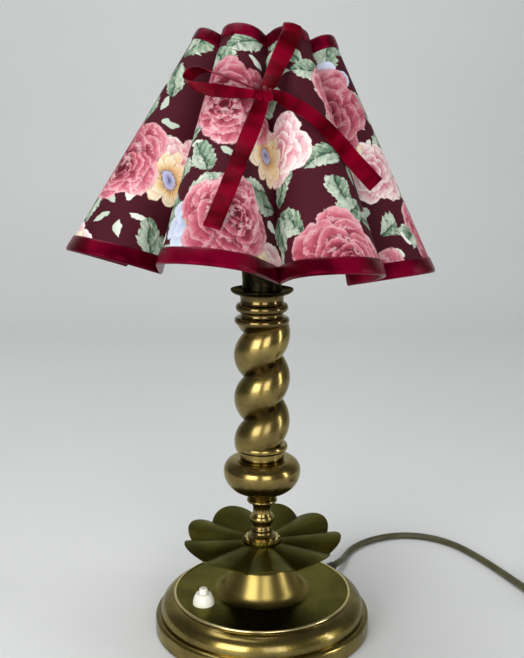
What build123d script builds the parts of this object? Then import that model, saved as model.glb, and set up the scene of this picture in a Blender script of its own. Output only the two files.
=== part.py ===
"""Electric candlestick table lamp with a scalloped fabric shade, in millimetres.

+Z is up. The origin is the middle of the felt pad's underside, on the column's axis.
The front of the lamp faces -Y. Angles round the lamp are counted from the front towards +X.
"""
import os
from math import acos, atan2, cos, degrees, pi, radians, sin, sqrt, tan

from build123d import *

# Fits between pieces that don't move against each other, and between pieces that do
FIT = 0.1
RUNNING_FIT = 0.08
CLEAR = 0.3

# Base
FELT_INSET = 4.0
FELT_T = 2.0
COVER_T = 1.6
FOOT_R = 78.0
FOOT_T = 1.4
FOOT_LIFT = 1.0
FOOT_WALL_H = 9.0
FOOT_ROLL = 2.8
FOOT_STEP = 1.2
OVOLO_W = 9.5
OVOLO_H = 13.0
OVOLO_BULGE = 3.2
FLANGE_W = 3.5
PLATE_T = 1.2
PLATE_BEAD_R = 1.0
BELL_INSET = 32.5
BELL_TAPER = 11.0
BELL_H = 23.5
BELL_COVE = 10.0
BELL_EDGE = 6.0
SCREW_R = 2.0
SCREW_HEAD_R = 3.4
SCREW_L = 9.0
SCREW_INSET = 26.5
SCREW_COUNT = 3
SCREW_START = 110.0

# Rod, nuts and washer on the column's axis
ROD_R = 5.0
ROD_BORE_R = 3.6
ROD_TAIL = 1.0
NUT_ACROSS = 15.0
NUT_H = 5.0
WASHER_R = 10.0
WASHER_T = 1.5
NUT_WELL_R = 13.0
NUT_WELL_H = 14.0

# Push switch in the plate
SWITCH_INSET = 16.1
SWITCH_ANGLE = -61.3
SWITCH_BODY_R = 8.5
SWITCH_BODY_H = 13.0
SWITCH_BUSH_R = 5.0
SWITCH_BUSH_H = 5.0
SWITCH_BORE_R = 3.3
SWITCH_WELL_R = 9.4
SWITCH_FLOOR_T = 2.0
CAP_NUT_R = 7.7
CAP_NUT_TOP_R = 5.3
CAP_NUT_H = 7.8
CAP_NUT_EDGE = 1.2
CAP_NUT_BULGE = 0.4
BUTTON_R = 3.0
BUTTON_HEAD_H = 5.0
BUTTON_STEM_R = 1.2
BUTTON_STEM_L = 7.0
BUTTON_TRAVEL = 2.5
BUTTON_PROUD = 1.5
BUTTON_ROUND = 1.1
SPRING_WIRE_R = 0.3
SPRING_TURNS = 5
TERMINAL_R = 1.8
TERMINAL_H = 2.4
TERMINAL_GAP = 8.0

# Mains lead
CORD_R = 2.75
CORD_ANGLE = 143.9
CORD_Z = 7.6
BUSH_COLLAR_R = 5.6
BUSH_COLLAR_T = 1.8
BUSH_TIP_R = 3.8
BUSH_L = 20.0
CORE_R = 1.1
CORE_OFFSET = 1.5
LIVE_OFFSET = 4.4
CORE_STRAIGHT = 12.0
CORE_BEND = 2.6
CHANNEL_W = 12.0
CHANNEL_H = 8.5
CORD_ROUTE = [
    (68.0, 98.0, 5.0),
    (71.5, 111.0, 2.75),
    (80.0, 128.0, 2.75),
    (98.0, 145.0, 2.75),
    (124.0, 155.0, 2.75),
    (150.0, 150.0, 2.75),
    (170.0, 133.0, 2.75),
    (184.0, 108.0, 2.75),
    (196.0, 80.0, 3.0),
]
CORD_FIRST_RUN = 8.0
CORD_LAST_RUN = 30.0
RUN_SHARE = 0.45

# Put-away coil: a spiral in on the lower layer, a climb, and a spiral out on the upper layer
COIL_X = 262.0
COIL_Y = 32.0
COIL_R = 44.5
COIL_TURNS = 3
COIL_STEP = 7.05
COIL_RISE = 6.1
COIL_START = 200.0
TIE_T = 0.8
TIE_W = 7.0
TIE_ANGLE = 300.0

# Plug, with its entry facing back along the tail of the lead
PLUG_Z = 7.0
PLUG_TAIL = [(296.8, 68.0, 8.6), (292.0, 85.0, PLUG_Z)]
PLUG_TAIL_END_Y = 104.0
PLUG_L = 34.0
PLUG_W = 28.0
PLUG_NECK_W = 11.0
PLUG_T = 13.6
PLUG_CORNER = 3.0
PLUG_EDGE = 2.0
PLUG_DRIFT = 1.2
PIN_R = 2.0
PIN_L = 19.0
PIN_GAP = 19.0

# Petal dish
SPACER_H = 14.0
SPACER_R = 9.0
SPACER_WAIST_R = 7.6
PETALS = 9
PETAL_CREASE = -12.0
PETAL_NOTCH_R = 50.9
PETAL_TIP_R = 57.3
PETAL_T = 1.0
PETAL_ARCH = 6.0
PETAL_HUB_ARCH = 0.2
PETAL_ROOT_R = 10.0
PETAL_DROOP = 2.0
DISH_LEAN = 2.0
DISH_HUB_R = 13.9
DISH_HUB_H = 2.2
CROWN_R = 13.0
CROWN_T = 1.5
CROWN_LOBES = 12
CROWN_LOBE_R = 2.0

# Turned stem, knop and collar
STEM_H = 29.5
STEM_FLARE_R = 10.2
STEM_NECK_R = 6.5
STEM_BEAD_R = 7.5
STEM_VASE_R = 8.8
STEM_RING_R = 10.9
KNOP_H = 30.5
KNOP_R = 27.5
KNOP_FOOT_R = 9.6
KNOP_TOP_R = 16.4
KNOP_WAIST_H = 22.3
COLLAR_R = 15.6
COLLAR_H = 6.0
COLLAR_EDGE = 0.7

# Barley-twist column: one start, right-handed
TWIST_H = 91.5
TWIST_LEAD = 31.45
TWIST_CREST_R = 19.7
TWIST_GROOVE_R = 12.8
TWIST_CREST_Z = 84.7
TWIST_FOOT_R = 18.3
TWIST_FOOT_H = 5.0
TWIST_FOOT_ROUND = 1.2
TWIST_POINTS = 13

# Column cap, drip pan and candle cup
CAP_H = 21.0
CAP_NECK_R = 15.0
CAP_LOW_BEAD_R = 19.2
CAP_HIGH_BEAD_R = 18.3
PAN_R = 21.8
PAN_FLAT_R = 16.6
PAN_RISE = 2.4
PAN_BOW = 0.8
PAN_T = 1.0
CUP_WALL = 1.1
CUP_WEB = 1.6
CUP_H = 18.0
CUP_LIP = 0.8
CUP_FLARE = 0.5

# Candle sleeve and lampholder
SLEEVE_R = 12.6
SLEEVE_T = 1.0
SLEEVE_L = 74.0
HOLDER_SOCKET_R = 8.0
HOLDER_SOCKET_H = 10.0
HOLDER_PLATE_R = 10.8
HOLDER_PLATE_T = 2.0
HOLDER_R = 11.2
HOLDER_RIM_H = 3.0
HOLDER_H = 48.0
HOLDER_WELL_H = 26.0
HOLDER_WEB = 5.0
HOLDER_CHAMBER_R = 6.0
SHELL_R = 8.2
SHELL_T = 0.7
CONTACT_W = 4.0
CONTACT_T = 0.5
CONTACT_RISE = 3.0
CONTACT_L = 7.0
CONTACT_BEND = 3.0
CONTACT_LEAN = 1.8

# Bulb with a screw cap
BULB_CAP_R = 6.9
BULB_CAP_H = 20.0
BULB_CAP_WALL = 0.5
PIP_R = 2.4
PIP_H = 1.6
PIP_RIM_R = 4.2
GLASS_NECK_R = 6.2
GLASS_NECK_H = 7.0
GLASS_R = 17.5
GLASS_WIDE_H = 33.0
GLASS_H = 81.0
GLASS_TIP_R = 1.8
GLASS_T = 0.8
GLASS_STEM_R = 3.2
GLASS_STEM_H = 22.0
FILAMENT_R = 0.3
FILAMENT_W = 12.0
FILAMENT_H = 20.0
FILAMENT_DIP = 4.0

# Bulb clip and its gimbal, on the pivot about which the shade leans
PIVOT_Z = 373.0
LEAN = 5.2
LEAN_AZIMUTH = 140.0
CLIP_RING_R = 19.2
CLIP_RING_T = 2.4
CLIP_RING_H = 5.0
CLIP_WIRE_R = 0.9
CLIP_LEG_GAP = 18.0
CLIP_LEG_DROP = 28.0
CLIP_LEG_TOP = 2.0
GIMBAL_GAP = 2.6
GIMBAL_T = 2.0
GIMBAL_H = 6.0
PIVOT_R = 1.5
PIVOT_HEAD_R = 3.0
PIVOT_HEAD_H = 2.0
PIVOT_TIP = 0.5

# Shade: scalloped cone in its own leaning frame, with heights counted from the pivot.
# It is handmade: its folds turn from even spacing and its middle drifts sideways towards the bottom
SCALLOPS = 8
SHADE_T = 1.2
BINDING_T = 0.7
TOP_BINDING_H = 8.5
LOW_BINDING_H = 10.0
TOP_RIDGE_R = 46.0
TOP_VALLEY_R = 38.0
TOP_RIDGE_Z = 44.8
TOP_VALLEY_Z = 38.9
TOP_PHASE = -1.0
LOW_RIDGE_R = 125.5
LOW_VALLEY_R = 82.0
LOW_RIDGE_Z = -100.5
LOW_VALLEY_Z = -111.5
LOW_PHASE = 11.5
FOLD_TURNS = [3.5, -4.0, -2.0, 0.0, 0.0, 0.0, -2.0, -6.0]
LOW_DRIFT = -4.5
TOP_SCALLOP_R = 13.0
LOW_SCALLOP_R = 30.0
LEAST_FLANK = 3.0
LOFT_MARGIN = 3.0
SHADE_WIRE_R = 1.2
RIB_R = 1.0
RIB_END = 0.1
SPOKES = 4
SPOKE_R = 1.0
SPOKE_START = 67.5
TOP_WIRE_DROP = 16.0
LOW_WIRE_RISE = 16.0

# Satin ribbon: angle from the front, height from the pivot, stand-off from the ridges, turn and width
RIBBON_W = 10.5
RIBBON_T = 0.5
KNOT_ANGLE = 1.4
KNOT_Z = -2.5
KNOT_W = 12.0
KNOT_H = 11.0
KNOT_T = 5.0
KNOT_STAND = 3.6
KNOT_ROUND = 1.8
KNOT_CORNER = 3.0
STRAP_ROUTE = [
    (3.6, 4.2, 3.4, 0.0, 8.0),
    (8.6, 19.5, 1.3, 0.0, RIBBON_W),
    (13.8, 33.0, 1.3, 0.0, RIBBON_W),
    (16.6, 41.5, 1.4, 0.0, RIBBON_W),
    (17.4, 46.4, 0.6, 0.0, RIBBON_W),
    (17.8, 48.0, -3.0, 0.0, RIBBON_W),
    (18.0, 46.5, -8.0, 0.0, RIBBON_W),
    (18.0, 42.0, -11.0, 0.0, RIBBON_W),
]
LOOP_ROUTE = [
    (-3.8, 0.4, 3.6, 60.0, 3.4),
    (-18.0, 7.0, 4.4, 50.0, 7.0),
    (-31.0, 10.5, 4.8, 75.0, 7.6),
    (-37.5, 8.5, 5.0, 90.0, 8.0),
    (-38.0, 3.5, 5.0, 90.0, 8.0),
    (-31.0, -0.5, 5.0, 80.0, 8.0),
    (-18.0, -2.6, 4.6, 55.0, 7.6),
    (-3.8, -3.8, 3.8, 60.0, 3.4),
]
SIDE_TAIL_ROUTE = [
    (6.7, -2.9, 3.2, 0.0, 7.0),
    (14.0, -5.6, 1.8, 0.0, RIBBON_W),
    (24.0, -12.0, 1.4, 0.0, RIBBON_W),
    (32.0, -23.0, 2.0, 15.0, RIBBON_W),
    (39.5, -39.0, 3.2, 35.0, RIBBON_W),
    (46.0, -52.0, 4.4, 50.0, RIBBON_W),
]
LONG_TAIL_ROUTE = [
    (1.0, -8.1, 3.4, 0.0, 8.0),
    (-2.2, -24.0, 1.6, 0.0, RIBBON_W),
    (-5.0, -40.0, 1.2, 0.0, RIBBON_W),
    (-7.6, -60.0, 1.2, 0.0, RIBBON_W),
    (-10.1, -81.0, 1.3, 0.0, RIBBON_W),
]

# Heights that follow, stacked from the floor upwards
COVER_Z = FELT_T
WEIGHT_Z = COVER_Z + COVER_T
OVOLO_Z = FOOT_LIFT + FOOT_WALL_H + FOOT_ROLL
FLANGE_TOP_Z = OVOLO_Z + OVOLO_H
WEIGHT_TOP_Z = FLANGE_TOP_Z - FOOT_T
WEIGHT_H = WEIGHT_TOP_Z - WEIGHT_Z
FELT_R = FOOT_R - FELT_INSET
OVOLO_R = FOOT_R - FOOT_ROLL - FOOT_STEP
OVOLO_TOP_R = OVOLO_R - OVOLO_W
FLANGE_R = OVOLO_TOP_R - FLANGE_W
WEIGHT_R = OVOLO_TOP_R - FOOT_T - 2 * CLEAR
SCREW_RING_R = WEIGHT_R - SCREW_INSET
PLATE_R = OVOLO_TOP_R - PLATE_BEAD_R
SWITCH_R = PLATE_R - SWITCH_INSET
BELL_R = PLATE_R - BELL_INSET
BELL_TOP_R = BELL_R - BELL_TAPER
PLATE_TOP_Z = FLANGE_TOP_Z + PLATE_T
BELL_TOP_Z = PLATE_TOP_Z + BELL_H
DISH_Z = BELL_TOP_Z + SPACER_H
DISH_TOP_Z = DISH_Z + DISH_HUB_H
STEM_Z = DISH_TOP_Z + CROWN_T
KNOP_Z = STEM_Z + STEM_H
COLLAR_Z = KNOP_Z + KNOP_H
TWIST_Z = COLLAR_Z + COLLAR_H
CAP_Z = TWIST_Z + TWIST_H
PAN_Z = CAP_Z + CAP_H
CUP_Z = PAN_Z + PAN_T
SLEEVE_Z = CUP_Z + CUP_WEB
SLEEVE_TOP_Z = SLEEVE_Z + SLEEVE_L
HOLDER_TOP_Z = SLEEVE_TOP_Z + HOLDER_RIM_H
HOLDER_Z = HOLDER_TOP_Z - HOLDER_H
HOLDER_BASE_Z = HOLDER_Z - HOLDER_PLATE_T - HOLDER_SOCKET_H
ROD_TOP_Z = HOLDER_Z - HOLDER_PLATE_T
HOLDER_WELL_Z = HOLDER_TOP_Z - HOLDER_WELL_H
PIP_Z = HOLDER_WELL_Z + CONTACT_RISE + CONTACT_T + CLEAR
BULB_Z = PIP_Z + PIP_H
GLASS_Z = BULB_Z + BULB_CAP_H - GLASS_NECK_H
NUT_WELL_TOP_Z = WEIGHT_Z + NUT_WELL_H
BOTTOM_WASHER_Z = NUT_WELL_TOP_Z - WASHER_T
BOTTOM_NUT_Z = BOTTOM_WASHER_Z - NUT_H
ROD_Z = BOTTOM_NUT_Z - ROD_TAIL
BORE_R = ROD_R + FIT
CORE_Z = WEIGHT_Z + CORE_R + CLEAR
NUT_RADIUS = NUT_ACROSS / sqrt(3)


def around(angle, radius, height=0.0):
    """Point at an angle counted from the front towards +X."""
    return Vector(radius * sin(radians(angle)), -radius * cos(radians(angle)), height)


def save(piece, name):
    """Label a finished piece and write it."""
    piece.part.label = name
    export_step(piece.part, f"parts/{name}.step")


os.makedirs("parts", exist_ok=True)

# Base: felt, cover, screws, weight
with BuildPart() as felt_pad:
    with BuildSketch():
        Circle(FELT_R)
    extrude(amount=FELT_T)
save(felt_pad, "felt_pad")

COVER_R = FOOT_R - FOOT_T - CLEAR
with BuildPart() as base_cover:
    with BuildSketch(Plane.XY.offset(COVER_Z)):
        Circle(COVER_R)
    extrude(amount=COVER_T)
    with Locations(Plane.XY.offset(COVER_Z)):
        with PolarLocations(SCREW_RING_R, SCREW_COUNT, SCREW_START):
            Cylinder(
                SCREW_HEAD_R + FIT,
                COVER_T,
                align=(Align.CENTER, Align.CENTER, Align.MIN),
                mode=Mode.SUBTRACT,
            )
save(base_cover, "base_cover")

with BuildPart() as cover_screws:
    with Locations(Plane.XY.offset(COVER_Z)):
        with PolarLocations(SCREW_RING_R, SCREW_COUNT, SCREW_START):
            Cylinder(SCREW_HEAD_R, COVER_T, align=(Align.CENTER, Align.CENTER, Align.MIN))
            Cylinder(SCREW_R, SCREW_L, align=(Align.CENTER, Align.CENTER, Align.MIN))
save(cover_screws, "cover_screws")

SWITCH_AT = around(SWITCH_ANGLE, SWITCH_R)
CORD_OUT = around(CORD_ANGLE, 1.0)
with BuildPart() as base_weight:
    with BuildSketch(Plane.XY.offset(WEIGHT_Z)):
        Circle(WEIGHT_R)
    extrude(amount=WEIGHT_H)
    with Locations((0, 0, WEIGHT_Z)):
        Cylinder(BORE_R, WEIGHT_H, align=(Align.CENTER, Align.CENTER, Align.MIN), mode=Mode.SUBTRACT)
        Cylinder(NUT_WELL_R, NUT_WELL_H, align=(Align.CENTER, Align.CENTER, Align.MIN), mode=Mode.SUBTRACT)
    with Locations((SWITCH_AT.X, SWITCH_AT.Y, WEIGHT_Z)):
        Cylinder(SWITCH_WELL_R, WEIGHT_H, align=(Align.CENTER, Align.CENTER, Align.MIN), mode=Mode.SUBTRACT)
    # Channels under the weight for the cores, from the lead and from the switch to the middle
    for angle, reach in ((CORD_ANGLE, WEIGHT_R + CLEAR), (SWITCH_ANGLE, SWITCH_R)):
        with BuildSketch(Plane(origin=(0, 0, WEIGHT_Z), x_dir=around(angle, 1.0))):
            Rectangle(reach, CHANNEL_W, align=(Align.MIN, Align.CENTER))
        extrude(amount=CHANNEL_H, mode=Mode.SUBTRACT)
    with Locations(Plane.XY.offset(WEIGHT_Z)):
        with PolarLocations(SCREW_RING_R, SCREW_COUNT, SCREW_START):
            Cylinder(
                SCREW_R + FIT,
                SCREW_L - COVER_T + FIT,
                align=(Align.CENTER, Align.CENTER, Align.MIN),
                mode=Mode.SUBTRACT,
            )
save(base_weight, "base_weight")

# Spun brass foot: straight wall, roll, step, ovolo and the flange that carries the plate
with BuildPart() as base_foot:
    with BuildSketch(Plane.XZ):
        with BuildLine():
            wall = Line((FOOT_R, 0), (FOOT_R, FOOT_LIFT + FOOT_WALL_H))
            roll = RadiusArc(wall @ 1, (FOOT_R - FOOT_ROLL, OVOLO_Z), -FOOT_ROLL)
            step = Line(roll @ 1, (OVOLO_R, OVOLO_Z))
            ovolo = SagittaArc(step @ 1, (OVOLO_TOP_R, FLANGE_TOP_Z), -OVOLO_BULGE)
            Polyline(ovolo @ 1, (0, FLANGE_TOP_Z), (0, 0), wall @ 0)
        make_face()
        offset(amount=-FOOT_T, mode=Mode.SUBTRACT)
        with Locations((0, 0)):
            Rectangle(2 * FLANGE_R, 2 * FLANGE_TOP_Z, mode=Mode.SUBTRACT)
            Rectangle(3 * FOOT_R, 2 * FOOT_LIFT, mode=Mode.SUBTRACT)
            Rectangle(2 * (FOOT_R - FOOT_T), 4 * FOOT_T, mode=Mode.SUBTRACT)
    revolve(axis=Axis.Z)
    with BuildSketch(Plane(origin=(0, 0, CORD_Z), x_dir=(0, 0, 1), z_dir=CORD_OUT)):
        Circle(BUSH_TIP_R + FIT)
    extrude(amount=FOOT_R + FOOT_T, mode=Mode.SUBTRACT)
save(base_foot, "base_foot")

# Brass plate with a bead at its rim and a bell at its middle, in one sheet
BELL_LEAN = atan2(BELL_R - BELL_TOP_R, BELL_H)
BELL_SHIFT = PLATE_T * (1 - sin(BELL_LEAN)) / cos(BELL_LEAN)


def bell(inset):
    """Half profile below the plate's upper side, moved inwards by the sheet."""
    shift = inset * BELL_SHIFT
    drop = inset * PLATE_T
    foot = (BELL_R - shift, PLATE_TOP_Z - drop)
    shoulder = (BELL_TOP_R - shift, BELL_TOP_Z - drop)
    with BuildSketch(Plane.XZ) as half:
        with BuildLine():
            Polyline(
                (0, FLANGE_TOP_Z - drop),
                (PLATE_R, FLANGE_TOP_Z - drop),
                (PLATE_R, PLATE_TOP_Z - drop),
                foot,
                shoulder,
                (0, BELL_TOP_Z - drop),
                close=True,
            )
        make_face()
        fillet(half.vertices().sort_by_distance(foot)[0], BELL_COVE + drop)
        fillet(half.vertices().sort_by_distance(shoulder)[0], BELL_EDGE - drop)
    return half.sketch


with BuildPart() as dome_plate:
    revolve(bell(0), axis=Axis.Z)
    revolve(bell(1), axis=Axis.Z, mode=Mode.SUBTRACT)
    with BuildSketch(Plane.XZ):
        with Locations((PLATE_R, FLANGE_TOP_Z + PLATE_BEAD_R)):
            Circle(PLATE_BEAD_R)
    revolve(axis=Axis.Z)
    with BuildSketch(Plane.XY.offset(FLANGE_TOP_Z)):
        Circle(BORE_R)
    extrude(amount=BELL_TOP_Z, mode=Mode.SUBTRACT)
    with Locations((SWITCH_AT.X, SWITCH_AT.Y, FLANGE_TOP_Z)):
        Cylinder(
            SWITCH_BUSH_R + FIT,
            PLATE_T,
            align=(Align.CENTER, Align.CENTER, Align.MIN),
            mode=Mode.SUBTRACT,
        )
save(dome_plate, "dome_plate")

# Rod, bottom nut and washer
with BuildPart() as central_rod:
    with BuildSketch(Plane.XY.offset(ROD_Z)):
        Circle(ROD_R)
        Circle(ROD_BORE_R, mode=Mode.SUBTRACT)
    extrude(amount=ROD_TOP_Z - ROD_Z)
save(central_rod, "central_rod")

with BuildPart() as bottom_washer:
    with BuildSketch(Plane.XY.offset(BOTTOM_WASHER_Z)):
        Circle(WASHER_R)
        Circle(BORE_R, mode=Mode.SUBTRACT)
    extrude(amount=WASHER_T)
save(bottom_washer, "bottom_washer")

for name, height in (("bottom_nut", BOTTOM_NUT_Z), ("top_nut", SLEEVE_Z)):
    with BuildPart() as nut:
        with BuildSketch(Plane.XY.offset(height)):
            RegularPolygon(NUT_RADIUS, 6)
            Circle(BORE_R, mode=Mode.SUBTRACT)
        extrude(amount=NUT_H)
    save(nut, name)

# Push switch: body and bush under the plate, cap nut over it, button, spring, terminal screws
SWITCH_FLOOR_Z = FLANGE_TOP_Z - SWITCH_BODY_H
CAP_NUT_Z = PLATE_TOP_Z
CAP_NUT_TOP_Z = CAP_NUT_Z + CAP_NUT_H
SPRING_SEAT_Z = SWITCH_FLOOR_Z + SWITCH_FLOOR_T
BUTTON_HEAD_Z = CAP_NUT_TOP_Z + BUTTON_TRAVEL - BUTTON_HEAD_H + BUTTON_PROUD
with BuildPart() as switch_body:
    with BuildSketch(Plane(origin=(SWITCH_AT.X, SWITCH_AT.Y, SWITCH_FLOOR_Z))):
        Circle(SWITCH_BODY_R)
    extrude(amount=SWITCH_BODY_H)
    with BuildSketch(Plane(origin=(SWITCH_AT.X, SWITCH_AT.Y, FLANGE_TOP_Z))):
        Circle(SWITCH_BUSH_R)
    extrude(amount=SWITCH_BUSH_H)
    with BuildSketch(Plane(origin=(SWITCH_AT.X, SWITCH_AT.Y, SPRING_SEAT_Z))):
        Circle(SWITCH_BORE_R)
    extrude(amount=SWITCH_BODY_H + SWITCH_BUSH_H, mode=Mode.SUBTRACT)
save(switch_body, "switch_body")

with BuildPart() as switch_cap_nut:
    with BuildSketch(Plane.XZ):
        with BuildLine():
            foot = Polyline((0, CAP_NUT_Z), (CAP_NUT_R, CAP_NUT_Z), (CAP_NUT_R, CAP_NUT_Z + CAP_NUT_EDGE))
            flank = SagittaArc(foot @ 1, (CAP_NUT_TOP_R, CAP_NUT_TOP_Z), -CAP_NUT_BULGE)
            Polyline(flank @ 1, (0, CAP_NUT_TOP_Z), foot @ 0)
        make_face()
        Rectangle(2 * (BUTTON_R + CLEAR), 4 * CAP_NUT_TOP_Z, mode=Mode.SUBTRACT)
        with Locations((0, FLANGE_TOP_Z + SWITCH_BUSH_H / 2)):
            Rectangle(2 * (SWITCH_BUSH_R + FIT), SWITCH_BUSH_H, mode=Mode.SUBTRACT)
    revolve(axis=Axis.Z)
switch_cap_nut.part.position = (SWITCH_AT.X, SWITCH_AT.Y, 0)
save(switch_cap_nut, "switch_cap_nut")

with BuildPart() as switch_button:
    with BuildSketch(Plane(origin=(SWITCH_AT.X, SWITCH_AT.Y, BUTTON_HEAD_Z))):
        Circle(BUTTON_R)
    extrude(amount=BUTTON_HEAD_H)
    fillet(switch_button.faces().sort_by(Axis.Z)[-1].edges(), BUTTON_ROUND)
    with BuildSketch(Plane(origin=(SWITCH_AT.X, SWITCH_AT.Y, BUTTON_HEAD_Z - BUTTON_STEM_L))):
        Circle(BUTTON_STEM_R)
    extrude(amount=BUTTON_STEM_L)
save(switch_button, "switch_button")

SPRING_R = (BUTTON_STEM_R + SWITCH_BORE_R) / 2
SPRING_H = BUTTON_HEAD_Z - SPRING_SEAT_Z - 4 * SPRING_WIRE_R
with BuildPart() as switch_spring:
    with BuildLine() as coil_line:
        Helix(SPRING_H / SPRING_TURNS, SPRING_H, SPRING_R)
    with BuildSketch(Plane(origin=coil_line.line @ 0, z_dir=coil_line.line % 0)):
        Circle(SPRING_WIRE_R)
    sweep(is_frenet=True)
switch_spring.part.position = (SWITCH_AT.X, SWITCH_AT.Y, SPRING_SEAT_Z + 2 * SPRING_WIRE_R)
save(switch_spring, "switch_spring")

with BuildPart() as switch_terminals:
    with Locations((SWITCH_AT.X, SWITCH_AT.Y, SWITCH_FLOOR_Z)):
        with GridLocations(TERMINAL_GAP, TERMINAL_GAP, 2, 1):
            Cylinder(TERMINAL_R, TERMINAL_H, align=(Align.CENTER, Align.CENTER, Align.MAX))
save(switch_terminals, "switch_terminals")

# Rubber bush that the lead leaves through, tapered along the lead
BUSH_START = FOOT_R - FOOT_T - BUSH_COLLAR_T
CORD_START = CORD_OUT * (FOOT_R + CLEAR + BUSH_L) + Vector(0, 0, CORD_Z)
with BuildPart() as cord_bush:
    with BuildSketch(Plane(origin=CORD_OUT * BUSH_START + Vector(0, 0, CORD_Z), z_dir=CORD_OUT)):
        Circle(BUSH_TIP_R)
    extrude(amount=BUSH_COLLAR_T + FOOT_T + CLEAR)
    with BuildSketch(Plane(origin=CORD_OUT * (FOOT_R + CLEAR) + Vector(0, 0, CORD_Z), z_dir=CORD_OUT)):
        Circle(BUSH_COLLAR_R)
    with BuildSketch(Plane(origin=CORD_START, z_dir=CORD_OUT)):
        Circle(BUSH_TIP_R)
    loft()
save(cord_bush, "cord_bush")


def corner_radii(points):
    """Largest fitting radius at each corner of a lead's route."""
    radii = []
    for before, at, after in zip(points, points[1:], points[2:]):
        run_in = Vector(*at) - Vector(*before)
        run_out = Vector(*after) - Vector(*at)
        turn = radians(run_in.get_angle(run_out))
        radii.append(RUN_SHARE * min(run_in.length, run_out.length) / tan(turn / 2))
    return radii


def coil_point(turns):
    """Point of the coil's centre line after a number of turns."""
    if turns < COIL_TURNS:
        radius = COIL_R - COIL_STEP * turns
        rise = 0.0
    elif turns < COIL_TURNS + 0.5:
        radius = COIL_R - COIL_STEP * COIL_TURNS
        share = 2 * (turns - COIL_TURNS)
        rise = COIL_RISE * (1 - cos(pi * share)) / 2
    else:
        radius = COIL_R - COIL_STEP * (2 * COIL_TURNS + 0.5 - turns)
        rise = COIL_RISE
    angle = radians(COIL_START + 360 * turns)
    return Vector(COIL_X + radius * cos(angle), COIL_Y + radius * sin(angle), CORD_R + TIE_T + FIT + rise)


def coil_direction(turns):
    """Direction of the coil's centre line after a number of turns."""
    small = 1e-4
    ends = (max(turns - small, 0.0), min(turns + small, COIL_ALL_TURNS))
    return (coil_point(ends[1]) - coil_point(ends[0])).normalized()


def biarc(start, start_direction, end, end_direction):
    """Joint point and direction of the two arcs that join two points in given directions."""
    chord = end - start
    both = start_direction + end_direction
    square = 2 * (1 - start_direction.dot(end_direction))
    linear = 2 * chord.dot(both)
    reach = (-linear + sqrt(linear**2 + 4 * square * chord.dot(chord))) / (2 * square)
    first = start + start_direction * reach
    last = end - end_direction * reach
    return (first + last) * 0.5, (last - first).normalized()


COIL_ALL_TURNS = 2 * COIL_TURNS + 0.5
COIL_QUARTERS = round(4 * COIL_ALL_TURNS)
COIL_ENTRY = coil_point(0) - coil_direction(0) * 2 * CORD_R
COIL_EXIT = coil_point(COIL_ALL_TURNS) + coil_direction(COIL_ALL_TURNS) * 2 * CORD_R

# Lead on the floor, from the bush to the coil
CORD_BEND = CORD_START + CORD_OUT * CORD_FIRST_RUN
CORD_TURN_IN = COIL_ENTRY - coil_direction(0) * CORD_LAST_RUN
cord_points = [tuple(CORD_START), tuple(CORD_BEND), *CORD_ROUTE, tuple(CORD_TURN_IN), tuple(COIL_ENTRY)]
cord_radii = corner_radii(cord_points)
with BuildPart() as cord_run:
    with BuildLine() as cord_line:
        FilletPolyline(*cord_points, radius=cord_radii)
    with BuildSketch(Plane(origin=cord_line.line @ 0, z_dir=cord_line.line % 0)):
        Circle(CORD_R)
    sweep()
save(cord_run, "cord_run")
print("cord radii", [round(r, 1) for r in cord_radii])
print("cord length", round(cord_line.wire().length, 1))
print("cord volume ratio", round(cord_run.part.volume / (pi * CORD_R**2 * cord_line.wire().length), 4))

# Coil of the unseen length, one unbroken tube
with BuildPart() as cord_coil:
    with BuildLine() as coil_path:
        Line(COIL_ENTRY, coil_point(0))
        for quarter in range(COIL_QUARTERS):
            here, there = quarter / 4, (quarter + 1) / 4
            start, way = coil_point(here), coil_direction(here)
            end, way_out = coil_point(there), coil_direction(there)
            middle, way_on = biarc(start, way, end, way_out)
            TangentArc(start, middle, tangent=way)
            TangentArc(middle, end, tangent=way_on)
        Line(coil_point(COIL_ALL_TURNS), COIL_EXIT)
    with BuildSketch(Plane(origin=coil_path.line @ 0, z_dir=coil_path.line % 0)):
        Circle(CORD_R)
    sweep()
save(cord_coil, "cord_coil")

# Least gap of the coil to itself, on points at least half a turn apart
coil_samples = [coil_point(step / 60) for step in range(round(60 * COIL_ALL_TURNS))]
coil_gap = min(
    (a - b).length - 2 * CORD_R
    for i, a in enumerate(coil_samples)
    for b in coil_samples[i + 20 :]
)
print("coil length", round(coil_path.wire().length, 1), "least gap", round(coil_gap, 2))
print("coil volume ratio", round(cord_coil.part.volume / (pi * CORD_R**2 * coil_path.wire().length), 4))

# Flat tie round the coil's turns
TIE_IN_R = COIL_R - COIL_STEP * COIL_TURNS - CORD_R - FIT
TIE_OUT_R = COIL_R + CORD_R + FIT
TIE_INSIDE_H = 2 * CORD_R + COIL_RISE + 2 * FIT
tie_way = Vector(cos(radians(TIE_ANGLE)), sin(radians(TIE_ANGLE)), 0)
with BuildPart() as cord_tie:
    tie_origin = Vector(COIL_X, COIL_Y, 0) + tie_way * TIE_IN_R
    with BuildSketch(Plane(origin=tie_origin, x_dir=tie_way, z_dir=tie_way.cross(Vector(0, 0, 1)))):
        with Locations((-TIE_T, 0)):
            Rectangle(
                TIE_OUT_R - TIE_IN_R + 2 * TIE_T,
                TIE_INSIDE_H + 2 * TIE_T,
                align=(Align.MIN, Align.MIN),
            )
        with Locations((0, TIE_T)):
            Rectangle(TIE_OUT_R - TIE_IN_R, TIE_INSIDE_H, align=(Align.MIN, Align.MIN), mode=Mode.SUBTRACT)
    extrude(amount=TIE_W / 2, both=True)
save(cord_tie, "cord_tie")

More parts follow.
